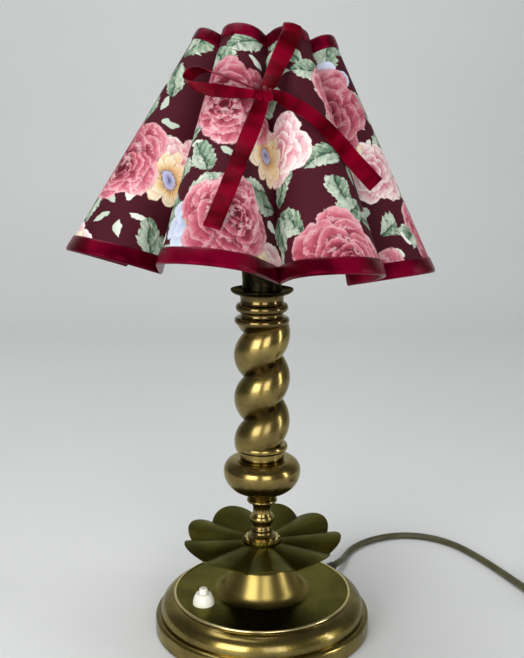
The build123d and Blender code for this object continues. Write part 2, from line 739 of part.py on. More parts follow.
# Tail of the lead from the coil to the plug
PLUG_X = PLUG_TAIL[-1][0] - PLUG_DRIFT
PLUG_AT = Vector(PLUG_X, PLUG_TAIL_END_Y, PLUG_Z)
tail_points = [tuple(COIL_EXIT), *PLUG_TAIL, tuple(PLUG_AT)]
tail_radii = corner_radii(tail_points)
with BuildPart() as plug_tail:
    with BuildLine() as tail_line:
        FilletPolyline(*tail_points, radius=tail_radii)
    with BuildSketch(Plane(origin=tail_line.line @ 0, z_dir=tail_line.line % 0)):
        Circle(CORD_R)
    sweep()
save(plug_tail, "plug_tail")
print("tail radii", [round(r, 1) for r in tail_radii], "length", round(tail_line.wire().length, 1))
print("lead length", round(cord_line.wire().length + coil_path.wire().length + tail_line.wire().length))

# Plug with two round pins, square to the end of the tail
PLUG_WAY = tail_line.line % 1
PLUG_SIDE = PLUG_WAY.cross(Vector(0, 0, 1)).normalized()
PLUG_UP = PLUG_SIDE.cross(PLUG_WAY)
PLUG_FACE = tail_line.line @ 1 + PLUG_WAY * PLUG_L
with BuildPart() as plug_body:
    with BuildSketch(Plane(origin=tail_line.line @ 1, x_dir=PLUG_SIDE, z_dir=PLUG_UP)) as plug_plan:
        with BuildLine():
            Polyline(
                (-PLUG_NECK_W / 2, 0),
                (PLUG_NECK_W / 2, 0),
                (PLUG_W / 2, PLUG_L / 2),
                (PLUG_W / 2, PLUG_L),
                (-PLUG_W / 2, PLUG_L),
                (-PLUG_W / 2, PLUG_L / 2),
                close=True,
            )
        make_face()
        fillet(plug_plan.vertices(), PLUG_CORNER)
    extrude(amount=PLUG_T / 2, both=True)
    plug_faces = plug_body.faces().sort_by(Axis(PLUG_FACE, PLUG_UP))
    fillet(plug_faces[0].edges() + plug_faces[-1].edges(), PLUG_EDGE)
save(plug_body, "plug_body")

with BuildPart() as plug_pins:
    with BuildSketch(Plane(origin=PLUG_FACE, x_dir=PLUG_SIDE, z_dir=PLUG_WAY)):
        with GridLocations(PIN_GAP, PIN_GAP, 2, 1):
            Circle(PIN_R)
    extrude(amount=PIN_L)
    fillet(plug_pins.faces().sort_by(Axis(PLUG_FACE, PLUG_WAY))[-2:].edges(), PIN_R / 2)
save(plug_pins, "plug_pins")

# Cores inside the base and the rod: neutral and live from the lead, and the switched core to the lampholder
CORE_SIDE = CORD_OUT.cross(Vector(0, 0, 1))
CORE_START_R = BUSH_START - FIT
CORE_TOP_Z = HOLDER_WELL_Z - HOLDER_WEB - FIT
TERMINAL_Z = SWITCH_FLOOR_Z - TERMINAL_H - FIT
TERMINAL_SIDE = Vector(TERMINAL_GAP / 2, 0, 0)


def core(name, points):
    """One insulated core along straight runs joined by small bends."""
    with BuildPart() as wire:
        with BuildLine() as run:
            FilletPolyline(*points, radius=CORE_BEND)
        with BuildSketch(Plane(origin=run.line @ 0, z_dir=run.line % 0)):
            Circle(CORE_R)
        sweep()
    save(wire, name)


def core_point(reach, side, height):
    """Point in the channel from the lead's bush to the middle."""
    return CORD_OUT * reach + CORE_SIDE * side + Vector(0, 0, height)


core(
    "neutral_core",
    [
        core_point(CORE_START_R, CORE_OFFSET, CORD_Z),
        core_point(CORE_START_R - CORE_STRAIGHT, CORE_OFFSET, CORD_Z),
        core_point(CORE_STRAIGHT, CORE_OFFSET, CORE_Z),
        core_point(0, CORE_OFFSET, CORE_Z),
        core_point(0, CORE_OFFSET, CORE_TOP_Z),
    ],
)
core(
    "live_core",
    [
        core_point(CORE_START_R, -CORE_OFFSET, CORD_Z),
        core_point(CORE_START_R - CORE_STRAIGHT, -CORE_OFFSET, CORD_Z),
        core_point(CORE_STRAIGHT, -LIVE_OFFSET, CORE_Z),
        core_point(0, -LIVE_OFFSET, CORE_Z),
        SWITCH_AT - TERMINAL_SIDE + Vector(0, 0, CORE_Z),
        SWITCH_AT - TERMINAL_SIDE + Vector(0, 0, TERMINAL_Z),
    ],
)
core(
    "switched_core",
    [
        SWITCH_AT + TERMINAL_SIDE + Vector(0, 0, TERMINAL_Z),
        SWITCH_AT + TERMINAL_SIDE + Vector(0, 0, CORE_Z),
        core_point(0, -CORE_OFFSET, CORE_Z),
        core_point(0, -CORE_OFFSET, CORE_TOP_Z),
    ],
)


def profile(bore, start, steps):
    """Half profile of a turned piece, from its bore and a height.

    A step is a point, or an arc's middle and its end, with heights counted from the start.
    """
    with BuildSketch(Plane.XZ) as half:
        with BuildLine():
            at = (bore, start)
            for step in steps:
                to = (step[-2], start + step[-1])
                if len(step) == 2:
                    Line(at, to)
                else:
                    ThreePointArc(at, (step[0], start + step[1]), to)
                at = to
            Polyline(at, (bore, at[1]), (bore, start))
        make_face()
    return half.sketch


# Spacer between the bell and the petal dish
with BuildPart() as dish_spacer:
    revolve(
        profile(BORE_R, BELL_TOP_Z, [(SPACER_R, 0), (SPACER_WAIST_R, SPACER_H / 2, SPACER_R, SPACER_H)]),
        axis=Axis.Z,
    )
save(dish_spacer, "dish_spacer")

# Petal dish: arched petals of thin sheet that meet in sharp creases
PETAL_HALF = radians(180 / PETALS)


def petal_section(reach, arch, droop):
    """Arched section of one petal, between its two creases."""
    half = reach * tan(PETAL_HALF)
    with BuildSketch(Plane(origin=(reach, 0, DISH_Z - droop), x_dir=(0, 1, 0), z_dir=(1, 0, 0))) as section:
        with BuildLine():
            top = ThreePointArc((-half, PETAL_T), (0, PETAL_T + arch), (half, PETAL_T))
            side = Line(top @ 1, (half, 0))
            under = ThreePointArc(side @ 1, (0, arch), (-half, 0))
            Line(under @ 1, top @ 0)
        make_face()
    return section.sketch


with BuildPart() as petal:
    loft(
        [
            petal_section(PETAL_ROOT_R, PETAL_HUB_ARCH, 0),
            petal_section(PETAL_TIP_R + PETAL_T, PETAL_ARCH, PETAL_DROOP),
        ],
        ruled=True,
    )
    with BuildSketch(Plane.XY.offset(DISH_Z - PETAL_DROOP - PETAL_T)):
        with BuildLine():
            notch = Vector(PETAL_NOTCH_R * cos(PETAL_HALF), PETAL_NOTCH_R * sin(PETAL_HALF))
            lip = ThreePointArc((notch.X, -notch.Y), (PETAL_TIP_R, 0), notch)
            Polyline(lip @ 1, (0, 0), lip @ 0)
        make_face()
    extrude(amount=PETAL_ARCH + PETAL_DROOP + 3 * PETAL_T, mode=Mode.INTERSECT)

with BuildPart() as petals:
    with PolarLocations(0, PETALS, PETAL_CREASE + 180 / PETALS - 90):
        add(petal.part)

with BuildPart() as petal_dish:
    add(petals.part.rotate(Axis((0, 0, DISH_Z), (1, 0, 0)), DISH_LEAN))
    with BuildSketch(Plane.XY.offset(DISH_Z)):
        Circle(DISH_HUB_R)
    extrude(amount=DISH_HUB_H)
    with BuildSketch(Plane.XY.offset(DISH_Z)):
        Circle(BORE_R)
    extrude(amount=DISH_HUB_H, mode=Mode.SUBTRACT)
save(petal_dish, "petal_dish")

with BuildPart() as crown_washer:
    with BuildSketch(Plane.XY.offset(DISH_TOP_Z)):
        Circle(CROWN_R - CROWN_LOBE_R / 2)
        with PolarLocations(CROWN_R - CROWN_LOBE_R, CROWN_LOBES):
            Circle(CROWN_LOBE_R)
        Circle(BORE_R, mode=Mode.SUBTRACT)
    extrude(amount=CROWN_T)
save(crown_washer, "crown_washer")

# Turned stem, knop and collar
with BuildPart() as stem_turning:
    revolve(
        profile(
            BORE_R,
            STEM_Z,
            [
                (STEM_FLARE_R, 0),
                (STEM_FLARE_R, 1.4),
                (7.8, 2.6, 6.9, 4.4),
                (STEM_BEAD_R, 6.0, 6.9, 7.6),
                (STEM_NECK_R, 9.6, 7.0, 11.6),
                (8.2, 11.8),
                (STEM_VASE_R, 14.2, 8.0, 16.8),
                (7.2, 17.0),
                (STEM_NECK_R, 22.0, 8.0, 26.8),
                (9.8, 27.0),
                (STEM_RING_R, 28.2, 9.8, STEM_H),
            ],
        ),
        axis=Axis.Z,
    )
save(stem_turning, "stem_turning")

with BuildPart() as knop:
    revolve(
        profile(
            BORE_R,
            KNOP_Z,
            [
                (KNOP_FOOT_R, 0),
                (11.6, 3.2, 16.0, 5.8),
                (25.0, 12.5, KNOP_R, KNOP_WAIST_H),
                (24.9, 28.0, KNOP_TOP_R, KNOP_H),
            ],
        ),
        axis=Axis.Z,
    )
save(knop, "knop")

with BuildPart() as knop_collar:
    revolve(
        profile(
            BORE_R,
            COLLAR_Z,
            [
                (COLLAR_R - COLLAR_EDGE, 0),
                (COLLAR_R, COLLAR_EDGE),
                (COLLAR_R, COLLAR_H - COLLAR_EDGE),
                (COLLAR_R - COLLAR_EDGE, COLLAR_H),
            ],
        ),
        axis=Axis.Z,
    )
save(knop_collar, "knop_collar")

# Barley-twist column: in the axial plane each crest is one arc and the arcs meet in sharp grooves
TWIST_DEPTH = TWIST_CREST_R - TWIST_GROOVE_R
TWIST_ARC_R = ((TWIST_LEAD / 2) ** 2 + TWIST_DEPTH**2) / (2 * TWIST_DEPTH)


def twist_point(angle):
    """Point of the column's cross-section, at an angle from the crest."""
    along = TWIST_LEAD * angle / 360
    radius = TWIST_CREST_R - TWIST_ARC_R + sqrt(TWIST_ARC_R**2 - along**2)
    turn = radians(angle - 360 * TWIST_CREST_Z / TWIST_LEAD)
    return (radius * cos(turn), radius * sin(turn))


with BuildSketch(Plane.XY.offset(TWIST_Z)) as twist_section:
    with BuildLine():
        Spline(*[twist_point(-180 + 180 * i / TWIST_POINTS) for i in range(TWIST_POINTS + 1)])
        Spline(*[twist_point(180 * i / TWIST_POINTS) for i in range(TWIST_POINTS + 1)])
    make_face()

with BuildPart() as twist_column:
    add(
        Solid.extrude_linear_with_rotation(
            twist_section.sketch.face(),
            center=(0, 0, TWIST_Z),
            normal=(0, 0, TWIST_H),
            angle=360 * TWIST_H / TWIST_LEAD,
        )
    )
    revolve(
        profile(
            0,
            TWIST_Z,
            [
                (TWIST_FOOT_R - TWIST_FOOT_ROUND, 0),
                (TWIST_FOOT_R, TWIST_FOOT_H / 2, TWIST_FOOT_R - TWIST_FOOT_ROUND, TWIST_FOOT_H),
            ],
        ),
        axis=Axis.Z,
    )
    with BuildSketch(Plane.XY.offset(TWIST_Z)):
        Circle(BORE_R)
    extrude(amount=TWIST_H, mode=Mode.SUBTRACT)
save(twist_column, "twist_column")

# Column cap, drip pan, candle cup
with BuildPart() as column_cap:
    revolve(
        profile(
            BORE_R,
            CAP_Z,
            [
                (18.0, 0),
                (CAP_LOW_BEAD_R, 2.4, 18.0, 4.8),
                (15.6, 5.2),
                (CAP_NECK_R, 7.0, 15.6, 8.6),
                (17.2, 9.0),
                (CAP_HIGH_BEAD_R, 11.5, 17.2, 14.0),
                (15.6, 14.4),
                (CAP_NECK_R, 17.0, 16.4, CAP_H),
            ],
        ),
        axis=Axis.Z,
    )
save(column_cap, "column_cap")

with BuildPart() as drip_pan:
    with BuildSketch(Plane.XZ):
        with BuildLine():
            under = Line((BORE_R, PAN_Z), (PAN_FLAT_R, PAN_Z))
            lip = SagittaArc(under @ 1, (PAN_R, PAN_Z + PAN_RISE), -PAN_BOW)
            edge = Line(lip @ 1, (PAN_R, PAN_Z + PAN_RISE + PAN_T))
            dish = SagittaArc(edge @ 1, (PAN_FLAT_R, PAN_Z + PAN_T), PAN_BOW)
            Polyline(dish @ 1, (BORE_R, PAN_Z + PAN_T), under @ 0)
        make_face()
    revolve(axis=Axis.Z)
save(drip_pan, "drip_pan")

CUP_R = SLEEVE_R + FIT + CUP_WALL
with BuildPart() as candle_cup:
    with BuildSketch(Plane.XZ):
        with BuildLine():
            web = Polyline((BORE_R, CUP_Z), (CUP_R - CUP_WALL, CUP_Z), (CUP_R, CUP_Z + CUP_WEB))
            flare = SagittaArc(web @ 1, (CUP_R + CUP_LIP, CUP_Z + CUP_H), CUP_FLARE)
            Polyline(
                flare @ 1,
                (SLEEVE_R + FIT, CUP_Z + CUP_H),
                (SLEEVE_R + FIT, SLEEVE_Z),
                (BORE_R, SLEEVE_Z),
                web @ 0,
            )
        make_face()
    revolve(axis=Axis.Z)
save(candle_cup, "candle_cup")

# Candle sleeve and lampholder
with BuildPart() as candle_sleeve:
    with BuildSketch(Plane.XY.offset(SLEEVE_Z)):
        Circle(SLEEVE_R)
        Circle(SLEEVE_R - SLEEVE_T, mode=Mode.SUBTRACT)
    extrude(amount=SLEEVE_L)
save(candle_sleeve, "candle_sleeve")

with BuildPart() as holder_base:
    with BuildSketch(Plane.XY.offset(HOLDER_BASE_Z)):
        Circle(HOLDER_SOCKET_R)
        Circle(BORE_R, mode=Mode.SUBTRACT)
    extrude(amount=HOLDER_SOCKET_H)
    with BuildSketch(Plane.XY.offset(HOLDER_BASE_Z + HOLDER_SOCKET_H)):
        Circle(HOLDER_PLATE_R)
        Circle(ROD_BORE_R, mode=Mode.SUBTRACT)
    extrude(amount=HOLDER_PLATE_T)
save(holder_base, "holder_base")

with BuildPart() as lampholder_body:
    with BuildSketch(Plane.XY.offset(HOLDER_Z)):
        Circle(HOLDER_R)
    extrude(amount=HOLDER_H)
    with BuildSketch(Plane.XY.offset(SLEEVE_TOP_Z)):
        Circle(SLEEVE_R)
    extrude(amount=HOLDER_RIM_H)
    with BuildSketch(Plane.XY.offset(HOLDER_WELL_Z)):
        Circle(SHELL_R + FIT)
    extrude(amount=HOLDER_WELL_H, mode=Mode.SUBTRACT)
    with BuildSketch(Plane.XY.offset(HOLDER_Z)):
        Circle(HOLDER_CHAMBER_R)
    extrude(amount=HOLDER_WELL_Z - HOLDER_WEB - HOLDER_Z, mode=Mode.SUBTRACT)
save(lampholder_body, "lampholder_body")

with BuildPart() as thread_shell:
    with BuildSketch(Plane.XY.offset(HOLDER_WELL_Z)):
        Circle(SHELL_R)
        Circle(SHELL_R - SHELL_T, mode=Mode.SUBTRACT)
    extrude(amount=HOLDER_WELL_H - HOLDER_RIM_H)
save(thread_shell, "thread_shell")

with BuildPart() as centre_contact:
    with BuildSketch(Plane.XZ):
        with BuildLine():
            Polyline(
                (-CONTACT_L, HOLDER_WELL_Z),
                (-CONTACT_BEND, HOLDER_WELL_Z),
                (-CONTACT_BEND + CONTACT_LEAN, HOLDER_WELL_Z + CONTACT_RISE),
                (CONTACT_BEND, HOLDER_WELL_Z + CONTACT_RISE),
                (CONTACT_BEND, HOLDER_WELL_Z + CONTACT_RISE + CONTACT_T),
                (-CONTACT_BEND + CONTACT_LEAN - CONTACT_T, HOLDER_WELL_Z + CONTACT_RISE + CONTACT_T),
                (-CONTACT_BEND - CONTACT_T, HOLDER_WELL_Z + CONTACT_T),
                (-CONTACT_L, HOLDER_WELL_Z + CONTACT_T),
                close=True,
            )
        make_face()
    extrude(amount=CONTACT_W / 2, both=True)
save(centre_contact, "centre_contact")

# Bulb: cap, contact pip, glass, stem and filament
with BuildPart() as bulb_pip:
    with BuildSketch(Plane.XY.offset(PIP_Z)):
        Circle(PIP_R)
    extrude(amount=PIP_H)
    fillet(bulb_pip.faces().sort_by(Axis.Z)[0].edges(), PIP_H / 2)
save(bulb_pip, "bulb_pip")

with BuildPart() as bulb_cap:
    with BuildSketch(Plane.XY.offset(BULB_Z)):
        Circle(BULB_CAP_R)
    extrude(amount=BULB_CAP_H)
    chamfer(bulb_cap.faces().sort_by(Axis.Z)[0].edges(), BULB_CAP_R - PIP_RIM_R)
    with BuildSketch(Plane.XY.offset(GLASS_Z)):
        Circle(BULB_CAP_R - BULB_CAP_WALL)
    extrude(amount=GLASS_NECK_H, mode=Mode.SUBTRACT)
save(bulb_cap, "bulb_cap")

GLASS_TOP_Z = GLASS_Z + GLASS_H


def flame(inset):
    """Half profile of the candle bulb's glass, moved inwards."""
    shoulder = (GLASS_NECK_R - inset, GLASS_Z + GLASS_NECK_H)
    wide = (GLASS_R - inset, GLASS_Z + GLASS_WIDE_H)
    point = (GLASS_TIP_R - inset, GLASS_TOP_Z - GLASS_TIP_R - inset)
    with BuildSketch(Plane.XZ) as half:
        with BuildLine():
            Spline(shoulder, wide, tangents=((0, 1), (0, 1)))
            Spline(wide, point, tangents=((0, 1), (-GLASS_TIP_R, GLASS_R)))
            Polyline(point, (0, GLASS_TOP_Z - inset), (0, GLASS_Z), (GLASS_NECK_R - inset, GLASS_Z), shoulder)
        make_face()
    return half.sketch


with BuildPart() as bulb_glass:
    revolve(flame(0), axis=Axis.Z)
    revolve(flame(GLASS_T), axis=Axis.Z, mode=Mode.SUBTRACT)
save(bulb_glass, "bulb_glass")

with BuildPart() as bulb_stem:
    with BuildSketch(Plane.XY.offset(GLASS_Z)):
        Circle(GLASS_NECK_R - GLASS_T - FIT)
    extrude(amount=GLASS_NECK_H / 2)
    with BuildSketch(Plane.XY.offset(GLASS_Z)):
        Circle(GLASS_STEM_R)
    extrude(amount=GLASS_STEM_H)
save(bulb_stem, "bulb_stem")

STEM_TOP_Z = GLASS_Z + GLASS_STEM_H
with BuildPart() as bulb_filament:
    with BuildLine() as filament_line:
        FilletPolyline(
            (-GLASS_STEM_R / 2, 0, STEM_TOP_Z),
            (-FILAMENT_W / 2, 0, STEM_TOP_Z + FILAMENT_H),
            (-FILAMENT_W / 4, 0, STEM_TOP_Z + FILAMENT_H - FILAMENT_DIP),
            (0, 0, STEM_TOP_Z + FILAMENT_H),
            (FILAMENT_W / 4, 0, STEM_TOP_Z + FILAMENT_H - FILAMENT_DIP),
            (FILAMENT_W / 2, 0, STEM_TOP_Z + FILAMENT_H),
            (GLASS_STEM_R / 2, 0, STEM_TOP_Z),
            radius=2 * FILAMENT_R,
        )
    with BuildSketch(Plane(origin=filament_line.line @ 0, z_dir=filament_line.line % 0)):
        Circle(FILAMENT_R)
    sweep()
save(bulb_filament, "bulb_filament")

# Bulb clip: a ring with two wire hairpins that hold the glass at its widest
HINGE_WAY = Vector(cos(radians(LEAN_AZIMUTH)), sin(radians(LEAN_AZIMUTH)), 0)
CLIP = Plane(origin=(0, 0, PIVOT_Z), x_dir=HINGE_WAY)
CLIP_RING_OUT_R = CLIP_RING_R + CLIP_RING_T
LEG_R = GLASS_R + CLEAR + CLIP_WIRE_R
LEG_SIDE = sqrt(LEG_R**2 - (CLIP_LEG_GAP / 2) ** 2)
with BuildPart() as bulb_clip:
    with BuildSketch(CLIP.offset(-CLIP_RING_H / 2)):
        Circle(CLIP_RING_OUT_R)
        Circle(CLIP_RING_R, mode=Mode.SUBTRACT)
    extrude(amount=CLIP_RING_H)
    with BuildSketch(Plane(origin=CLIP.origin, x_dir=CLIP.y_dir, z_dir=CLIP.x_dir)):
        Circle(PIVOT_R + RUNNING_FIT)
    extrude(amount=CLIP_RING_OUT_R, both=True, mode=Mode.SUBTRACT)
    for side in (-LEG_SIDE, LEG_SIDE):
        half = CLIP_LEG_GAP / 2
        foot_in, top_in, bow_top, top_out, foot_out = (
            CLIP.from_local_coords(Vector(x, side, z))
            for x, z in (
                (-half, -CLIP_LEG_DROP),
                (-half, CLIP_LEG_TOP),
                (0, CLIP_LEG_TOP + half),
                (half, CLIP_LEG_TOP),
                (half, -CLIP_LEG_DROP),
            )
        )
        with BuildLine() as hairpin:
            Line(foot_in, top_in)
            ThreePointArc(top_in, bow_top, top_out)
            Line(top_out, foot_out)
        with BuildSketch(Plane(origin=hairpin.line @ 0, z_dir=hairpin.line % 0)):
            Circle(CLIP_WIRE_R)
        sweep()
save(bulb_clip, "bulb_clip")

# Shade frame: the plane through the pivot that leans about the hinge
SHADE = Plane(
    origin=(0, 0, PIVOT_Z),
    x_dir=Vector(1, 0, 0).rotate(Axis((0, 0, 0), HINGE_WAY), LEAN),
    z_dir=Vector(0, 0, 1).rotate(Axis((0, 0, 0), HINGE_WAY), LEAN),
)
SHADE_AXIS = Axis(SHADE.origin, SHADE.z_dir)
SHADE_HALF_PLANE = Plane(origin=SHADE.origin, x_dir=SHADE.x_dir, z_dir=-SHADE.y_dir)


def between(height, top_z, top, low_z, low):
    """Value at a height on the straight line through the top and the low value."""
    return top + (height - top_z) * (low - top) / (low_z - top_z)


def ridge_radius(height):
    return between(height, TOP_RIDGE_Z, TOP_RIDGE_R, LOW_RIDGE_Z, LOW_RIDGE_R)


def valley_radius(height):
    return between(height, TOP_VALLEY_Z, TOP_VALLEY_R, LOW_VALLEY_Z, LOW_VALLEY_R)


def fold_angle(height, fold):
    """Angle of a fold at a height: evenly spaced at the top and turned at the bottom."""
    low = LOW_PHASE + FOLD_TURNS[fold % SCALLOPS]
    return 360 / SCALLOPS * fold + between(height, TOP_VALLEY_Z, TOP_PHASE, LOW_VALLEY_Z, low)


def middle(height):
    """Middle of the shade at a height, in its own frame."""
    return Vector(between(height, TOP_VALLEY_Z, 0.0, LOW_VALLEY_Z, LOW_DRIFT), 0, height)


def level(height):
    """Plane across the shade at a height."""
    return Plane(origin=SHADE.from_local_coords(middle(height)), x_dir=SHADE.x_dir, z_dir=SHADE.z_dir)


def scallop_radius(height):
    return between(height, TOP_RIDGE_Z, TOP_SCALLOP_R, LOW_RIDGE_Z, LOW_SCALLOP_R)


def scallops(height, inset):
    """Section of the shade at a height, moved inwards: round scallops whose straight flanks meet in folds."""
    ridge, valley = ridge_radius(height), valley_radius(height)
    sides = []
    for k in range(SCALLOPS):
        angle_in, angle_out = fold_angle(height, k), fold_angle(height, k + 1)
        ridge_angle = (angle_in + angle_out) / 2
        half_angle = radians(angle_out - angle_in) / 2
        half_width = valley * sin(half_angle)
        depth = ridge - valley * cos(half_angle)
        fullest = (half_width**2 + depth**2 - LEAST_FLANK**2) / (2 * depth)
        bow = min(scallop_radius(height), fullest)
        hub = around(ridge_angle, ridge - bow)
        crest = around(ridge_angle, ridge - inset)
        fold_in = around(angle_in, valley)
        fold_out = around(angle_out, valley)
        reach = (fold_in - hub).length
        turn = degrees(acos(bow / reach))
        spoke_in = (fold_in - hub).rotate(Axis.Z, turn) / reach
        spoke_out = (fold_out - hub).rotate(Axis.Z, -turn) / reach
        touch_in = hub + spoke_in * (bow - inset)
        touch_out = hub + spoke_out * (bow - inset)
        start = fold_in - spoke_in * inset
        end = fold_out - spoke_out * inset
        sides.append((start, touch_in, crest, touch_out, end, fold_out))
    with BuildSketch(level(height)) as section:
        with BuildLine():
            for k, (start, touch_in, crest, touch_out, end, fold) in enumerate(sides):
                Line(start, touch_in)
                ThreePointArc(touch_in, crest, touch_out)
                Line(touch_out, end)
                if inset > 0:
                    next_start = sides[(k + 1) % SCALLOPS][0]
                    ThreePointArc(end, fold - fold.normalized() * inset, next_start)
        make_face()
    return section.sketch


LOFT_TOP_Z = TOP_RIDGE_Z + LOFT_MARGIN
LOFT_LOW_Z = LOW_VALLEY_Z - LOFT_MARGIN


def rim_band(top_edge, top_drop, low_edge, low_drop):
    """Half profile between two edges of the shade, each a straight line from valley to ridge."""
    far = 2 * LOW_RIDGE_R
    points = []
    for (valley, valley_z, ridge, ridge_z), drop in ((top_edge, top_drop), (low_edge, low_drop)):
        slope = (ridge_z - valley_z) / (ridge - valley)
        ends = [(0, valley_z - valley * slope - drop), (far, valley_z + (far - valley) * slope - drop)]
        points += ends if not points else ends[::-1]
    with BuildSketch(SHADE_HALF_PLANE) as band:
        with BuildLine():
            Polyline(*points, close=True)
        make_face()
    return band.sketch


TOP_EDGE = (TOP_VALLEY_R, TOP_VALLEY_Z, TOP_RIDGE_R, TOP_RIDGE_Z)
LOW_EDGE = (LOW_VALLEY_R, LOW_VALLEY_Z, LOW_RIDGE_R, LOW_RIDGE_Z)

for name, wall, band in (
    ("shade_shell", SHADE_T, (TOP_EDGE, TOP_BINDING_H, LOW_EDGE, -LOW_BINDING_H)),
    ("top_binding", SHADE_T + BINDING_T, (TOP_EDGE, 0, TOP_EDGE, TOP_BINDING_H)),
    ("bottom_binding", SHADE_T + BINDING_T, (LOW_EDGE, -LOW_BINDING_H, LOW_EDGE, 0)),
):
    with BuildPart() as cover:
        loft([scallops(LOFT_TOP_Z, 0), scallops(LOFT_LOW_Z, 0)], ruled=True)
        loft([scallops(LOFT_TOP_Z, wall), scallops(LOFT_LOW_Z, wall)], ruled=True, mode=Mode.SUBTRACT)
        revolve(rim_band(*band), axis=SHADE_AXIS, mode=Mode.INTERSECT)
    save(cover, name)

# Shade frame: pivot screws, gimbal with spokes and top ring, lower ring and ribs
GIMBAL_R = CLIP_RING_OUT_R + GIMBAL_GAP
GIMBAL_OUT_R = GIMBAL_R + GIMBAL_T
with BuildPart() as pivot_screws:
    for way in (HINGE_WAY, -HINGE_WAY):
        tip = CLIP.origin + way * (CLIP_RING_R + PIVOT_TIP)
        with BuildSketch(Plane(origin=tip, z_dir=way)):
            Circle(PIVOT_R)
        extrude(amount=GIMBAL_OUT_R - CLIP_RING_R - PIVOT_TIP)
        with BuildSketch(Plane(origin=CLIP.origin + way * GIMBAL_OUT_R, z_dir=way)):
            Circle(PIVOT_HEAD_R)
        extrude(amount=PIVOT_HEAD_H)
save(pivot_screws, "pivot_screws")

TOP_WIRE_Z = TOP_VALLEY_Z - TOP_WIRE_DROP
LOW_WIRE_Z = LOW_VALLEY_Z + LOW_WIRE_RISE


def fold_way(fold, height):
    """Way from the shade's middle to a fold's straight line at a height."""
    top = middle(LOFT_TOP_Z) + around(fold_angle(LOFT_TOP_Z, fold), valley_radius(LOFT_TOP_Z))
    low = middle(LOFT_LOW_Z) + around(fold_angle(LOFT_LOW_Z, fold), valley_radius(LOFT_LOW_Z))
    share = (height - LOFT_TOP_Z) / (LOFT_LOW_Z - LOFT_TOP_Z)
    return top + (low - top) * share - middle(height)


def ring_radius(height):
    """Radius of a round of the frame's wire inside the folds."""
    reach = min(fold_way(fold, height).length for fold in range(SCALLOPS))
    return reach - SHADE_T - SHADE_WIRE_R - CLEAR


TOP_WIRE_RING_R = ring_radius(TOP_WIRE_Z)
LOW_WIRE_RING_R = ring_radius(LOW_WIRE_Z)

with BuildPart() as shade_spider:
    with BuildSketch(SHADE.offset(-GIMBAL_H / 2)):
        Circle(GIMBAL_OUT_R)
        Circle(GIMBAL_R, mode=Mode.SUBTRACT)
    extrude(amount=GIMBAL_H)
    with BuildSketch(Plane(origin=CLIP.origin, z_dir=HINGE_WAY)):
        Circle(PIVOT_R + FIT)
    extrude(amount=GIMBAL_OUT_R, both=True, mode=Mode.SUBTRACT)
    with Locations(level(TOP_WIRE_Z)):
        Torus(TOP_WIRE_RING_R, SHADE_WIRE_R)
    for k in range(SPOKES):
        azimuth = LEAN_AZIMUTH + SPOKE_START + 360 / SPOKES * k
        inner = Vector(GIMBAL_R + GIMBAL_T / 2, 0, 0).rotate(Axis.Z, azimuth)
        outer = middle(TOP_WIRE_Z) + Vector(TOP_WIRE_RING_R, 0, 0).rotate(Axis.Z, azimuth)
        foot = SHADE.from_local_coords(inner)
        way = SHADE.from_local_coords(outer) - foot
        with BuildSketch(Plane(origin=foot, z_dir=way)):
            Circle(SPOKE_R)
        extrude(amount=way.length)
save(shade_spider, "shade_spider")

with BuildPart() as shade_lower_ring:
    with Locations(level(LOW_WIRE_Z)):
        Torus(LOW_WIRE_RING_R, SHADE_WIRE_R)
save(shade_lower_ring, "shade_lower_ring")

with BuildPart() as shade_ribs:
    for fold in range(SCALLOPS):
        low_way = fold_way(fold, LOW_WIRE_Z).normalized() * LOW_WIRE_RING_R
        top_way = fold_way(fold, TOP_WIRE_Z).normalized() * TOP_WIRE_RING_R
        low = SHADE.from_local_coords(middle(LOW_WIRE_Z) + low_way)
        top = SHADE.from_local_coords(middle(TOP_WIRE_Z) + top_way)
        way = (top - low).normalized()
        with BuildSketch(Plane(origin=low + way * (SHADE_WIRE_R + RIB_END), z_dir=way)):
            Circle(RIB_R)
        extrude(amount=(top - low).length - 2 * (SHADE_WIRE_R + RIB_END))
save(shade_ribs, "shade_ribs")

# Satin ribbon tied round the top edge at the front
CONE_HALF = degrees(atan2(LOW_RIDGE_R - TOP_RIDGE_R, TOP_RIDGE_Z - LOW_RIDGE_Z))


def outward(angle):
    """Way out of the cone through the ridges, in the shade's own frame."""
    return around(angle, cos(radians(CONE_HALF)), sin(radians(CONE_HALF)))


def ribbon_point(angle, height, stand):
    return middle(height) + around(angle, ridge_radius(height)) + outward(angle) * stand


def ribbon(route):
    """Sections of a ribbon along its route."""
    points = [ribbon_point(angle, height, stand) for angle, height, stand, turn, width in route]
    last = len(points) - 1
    sections = []
    for k, (angle, height, stand, turn, width) in enumerate(route):
        way = (points[min(k + 1, last)] - points[max(k - 1, 0)]).normalized()
        side = way.cross(outward(angle)).normalized().rotate(Axis((0, 0, 0), way), turn)
        lean = SHADE.from_local_coords(side) - SHADE.origin
        ahead = SHADE.from_local_coords(way) - SHADE.origin
        place = SHADE.from_local_coords(points[k])
        with BuildSketch(Plane(origin=place, x_dir=lean, z_dir=ahead)) as section:
            Rectangle(width, RIBBON_T)
        sections.append(section.sketch)
    return sections


for name, route in (
    ("ribbon_strap", STRAP_ROUTE),
    ("ribbon_side_tail", SIDE_TAIL_ROUTE),
    ("ribbon_long_tail", LONG_TAIL_ROUTE),
):
    with BuildPart() as band:
        loft(ribbon(route), ruled=True)
    save(band, name)

loop_sections = ribbon(LOOP_ROUTE)
with BuildPart() as ribbon_loop:
    for start, end in zip(loop_sections, loop_sections[1:]):
        loft([start, end], ruled=True)
save(ribbon_loop, "ribbon_loop")

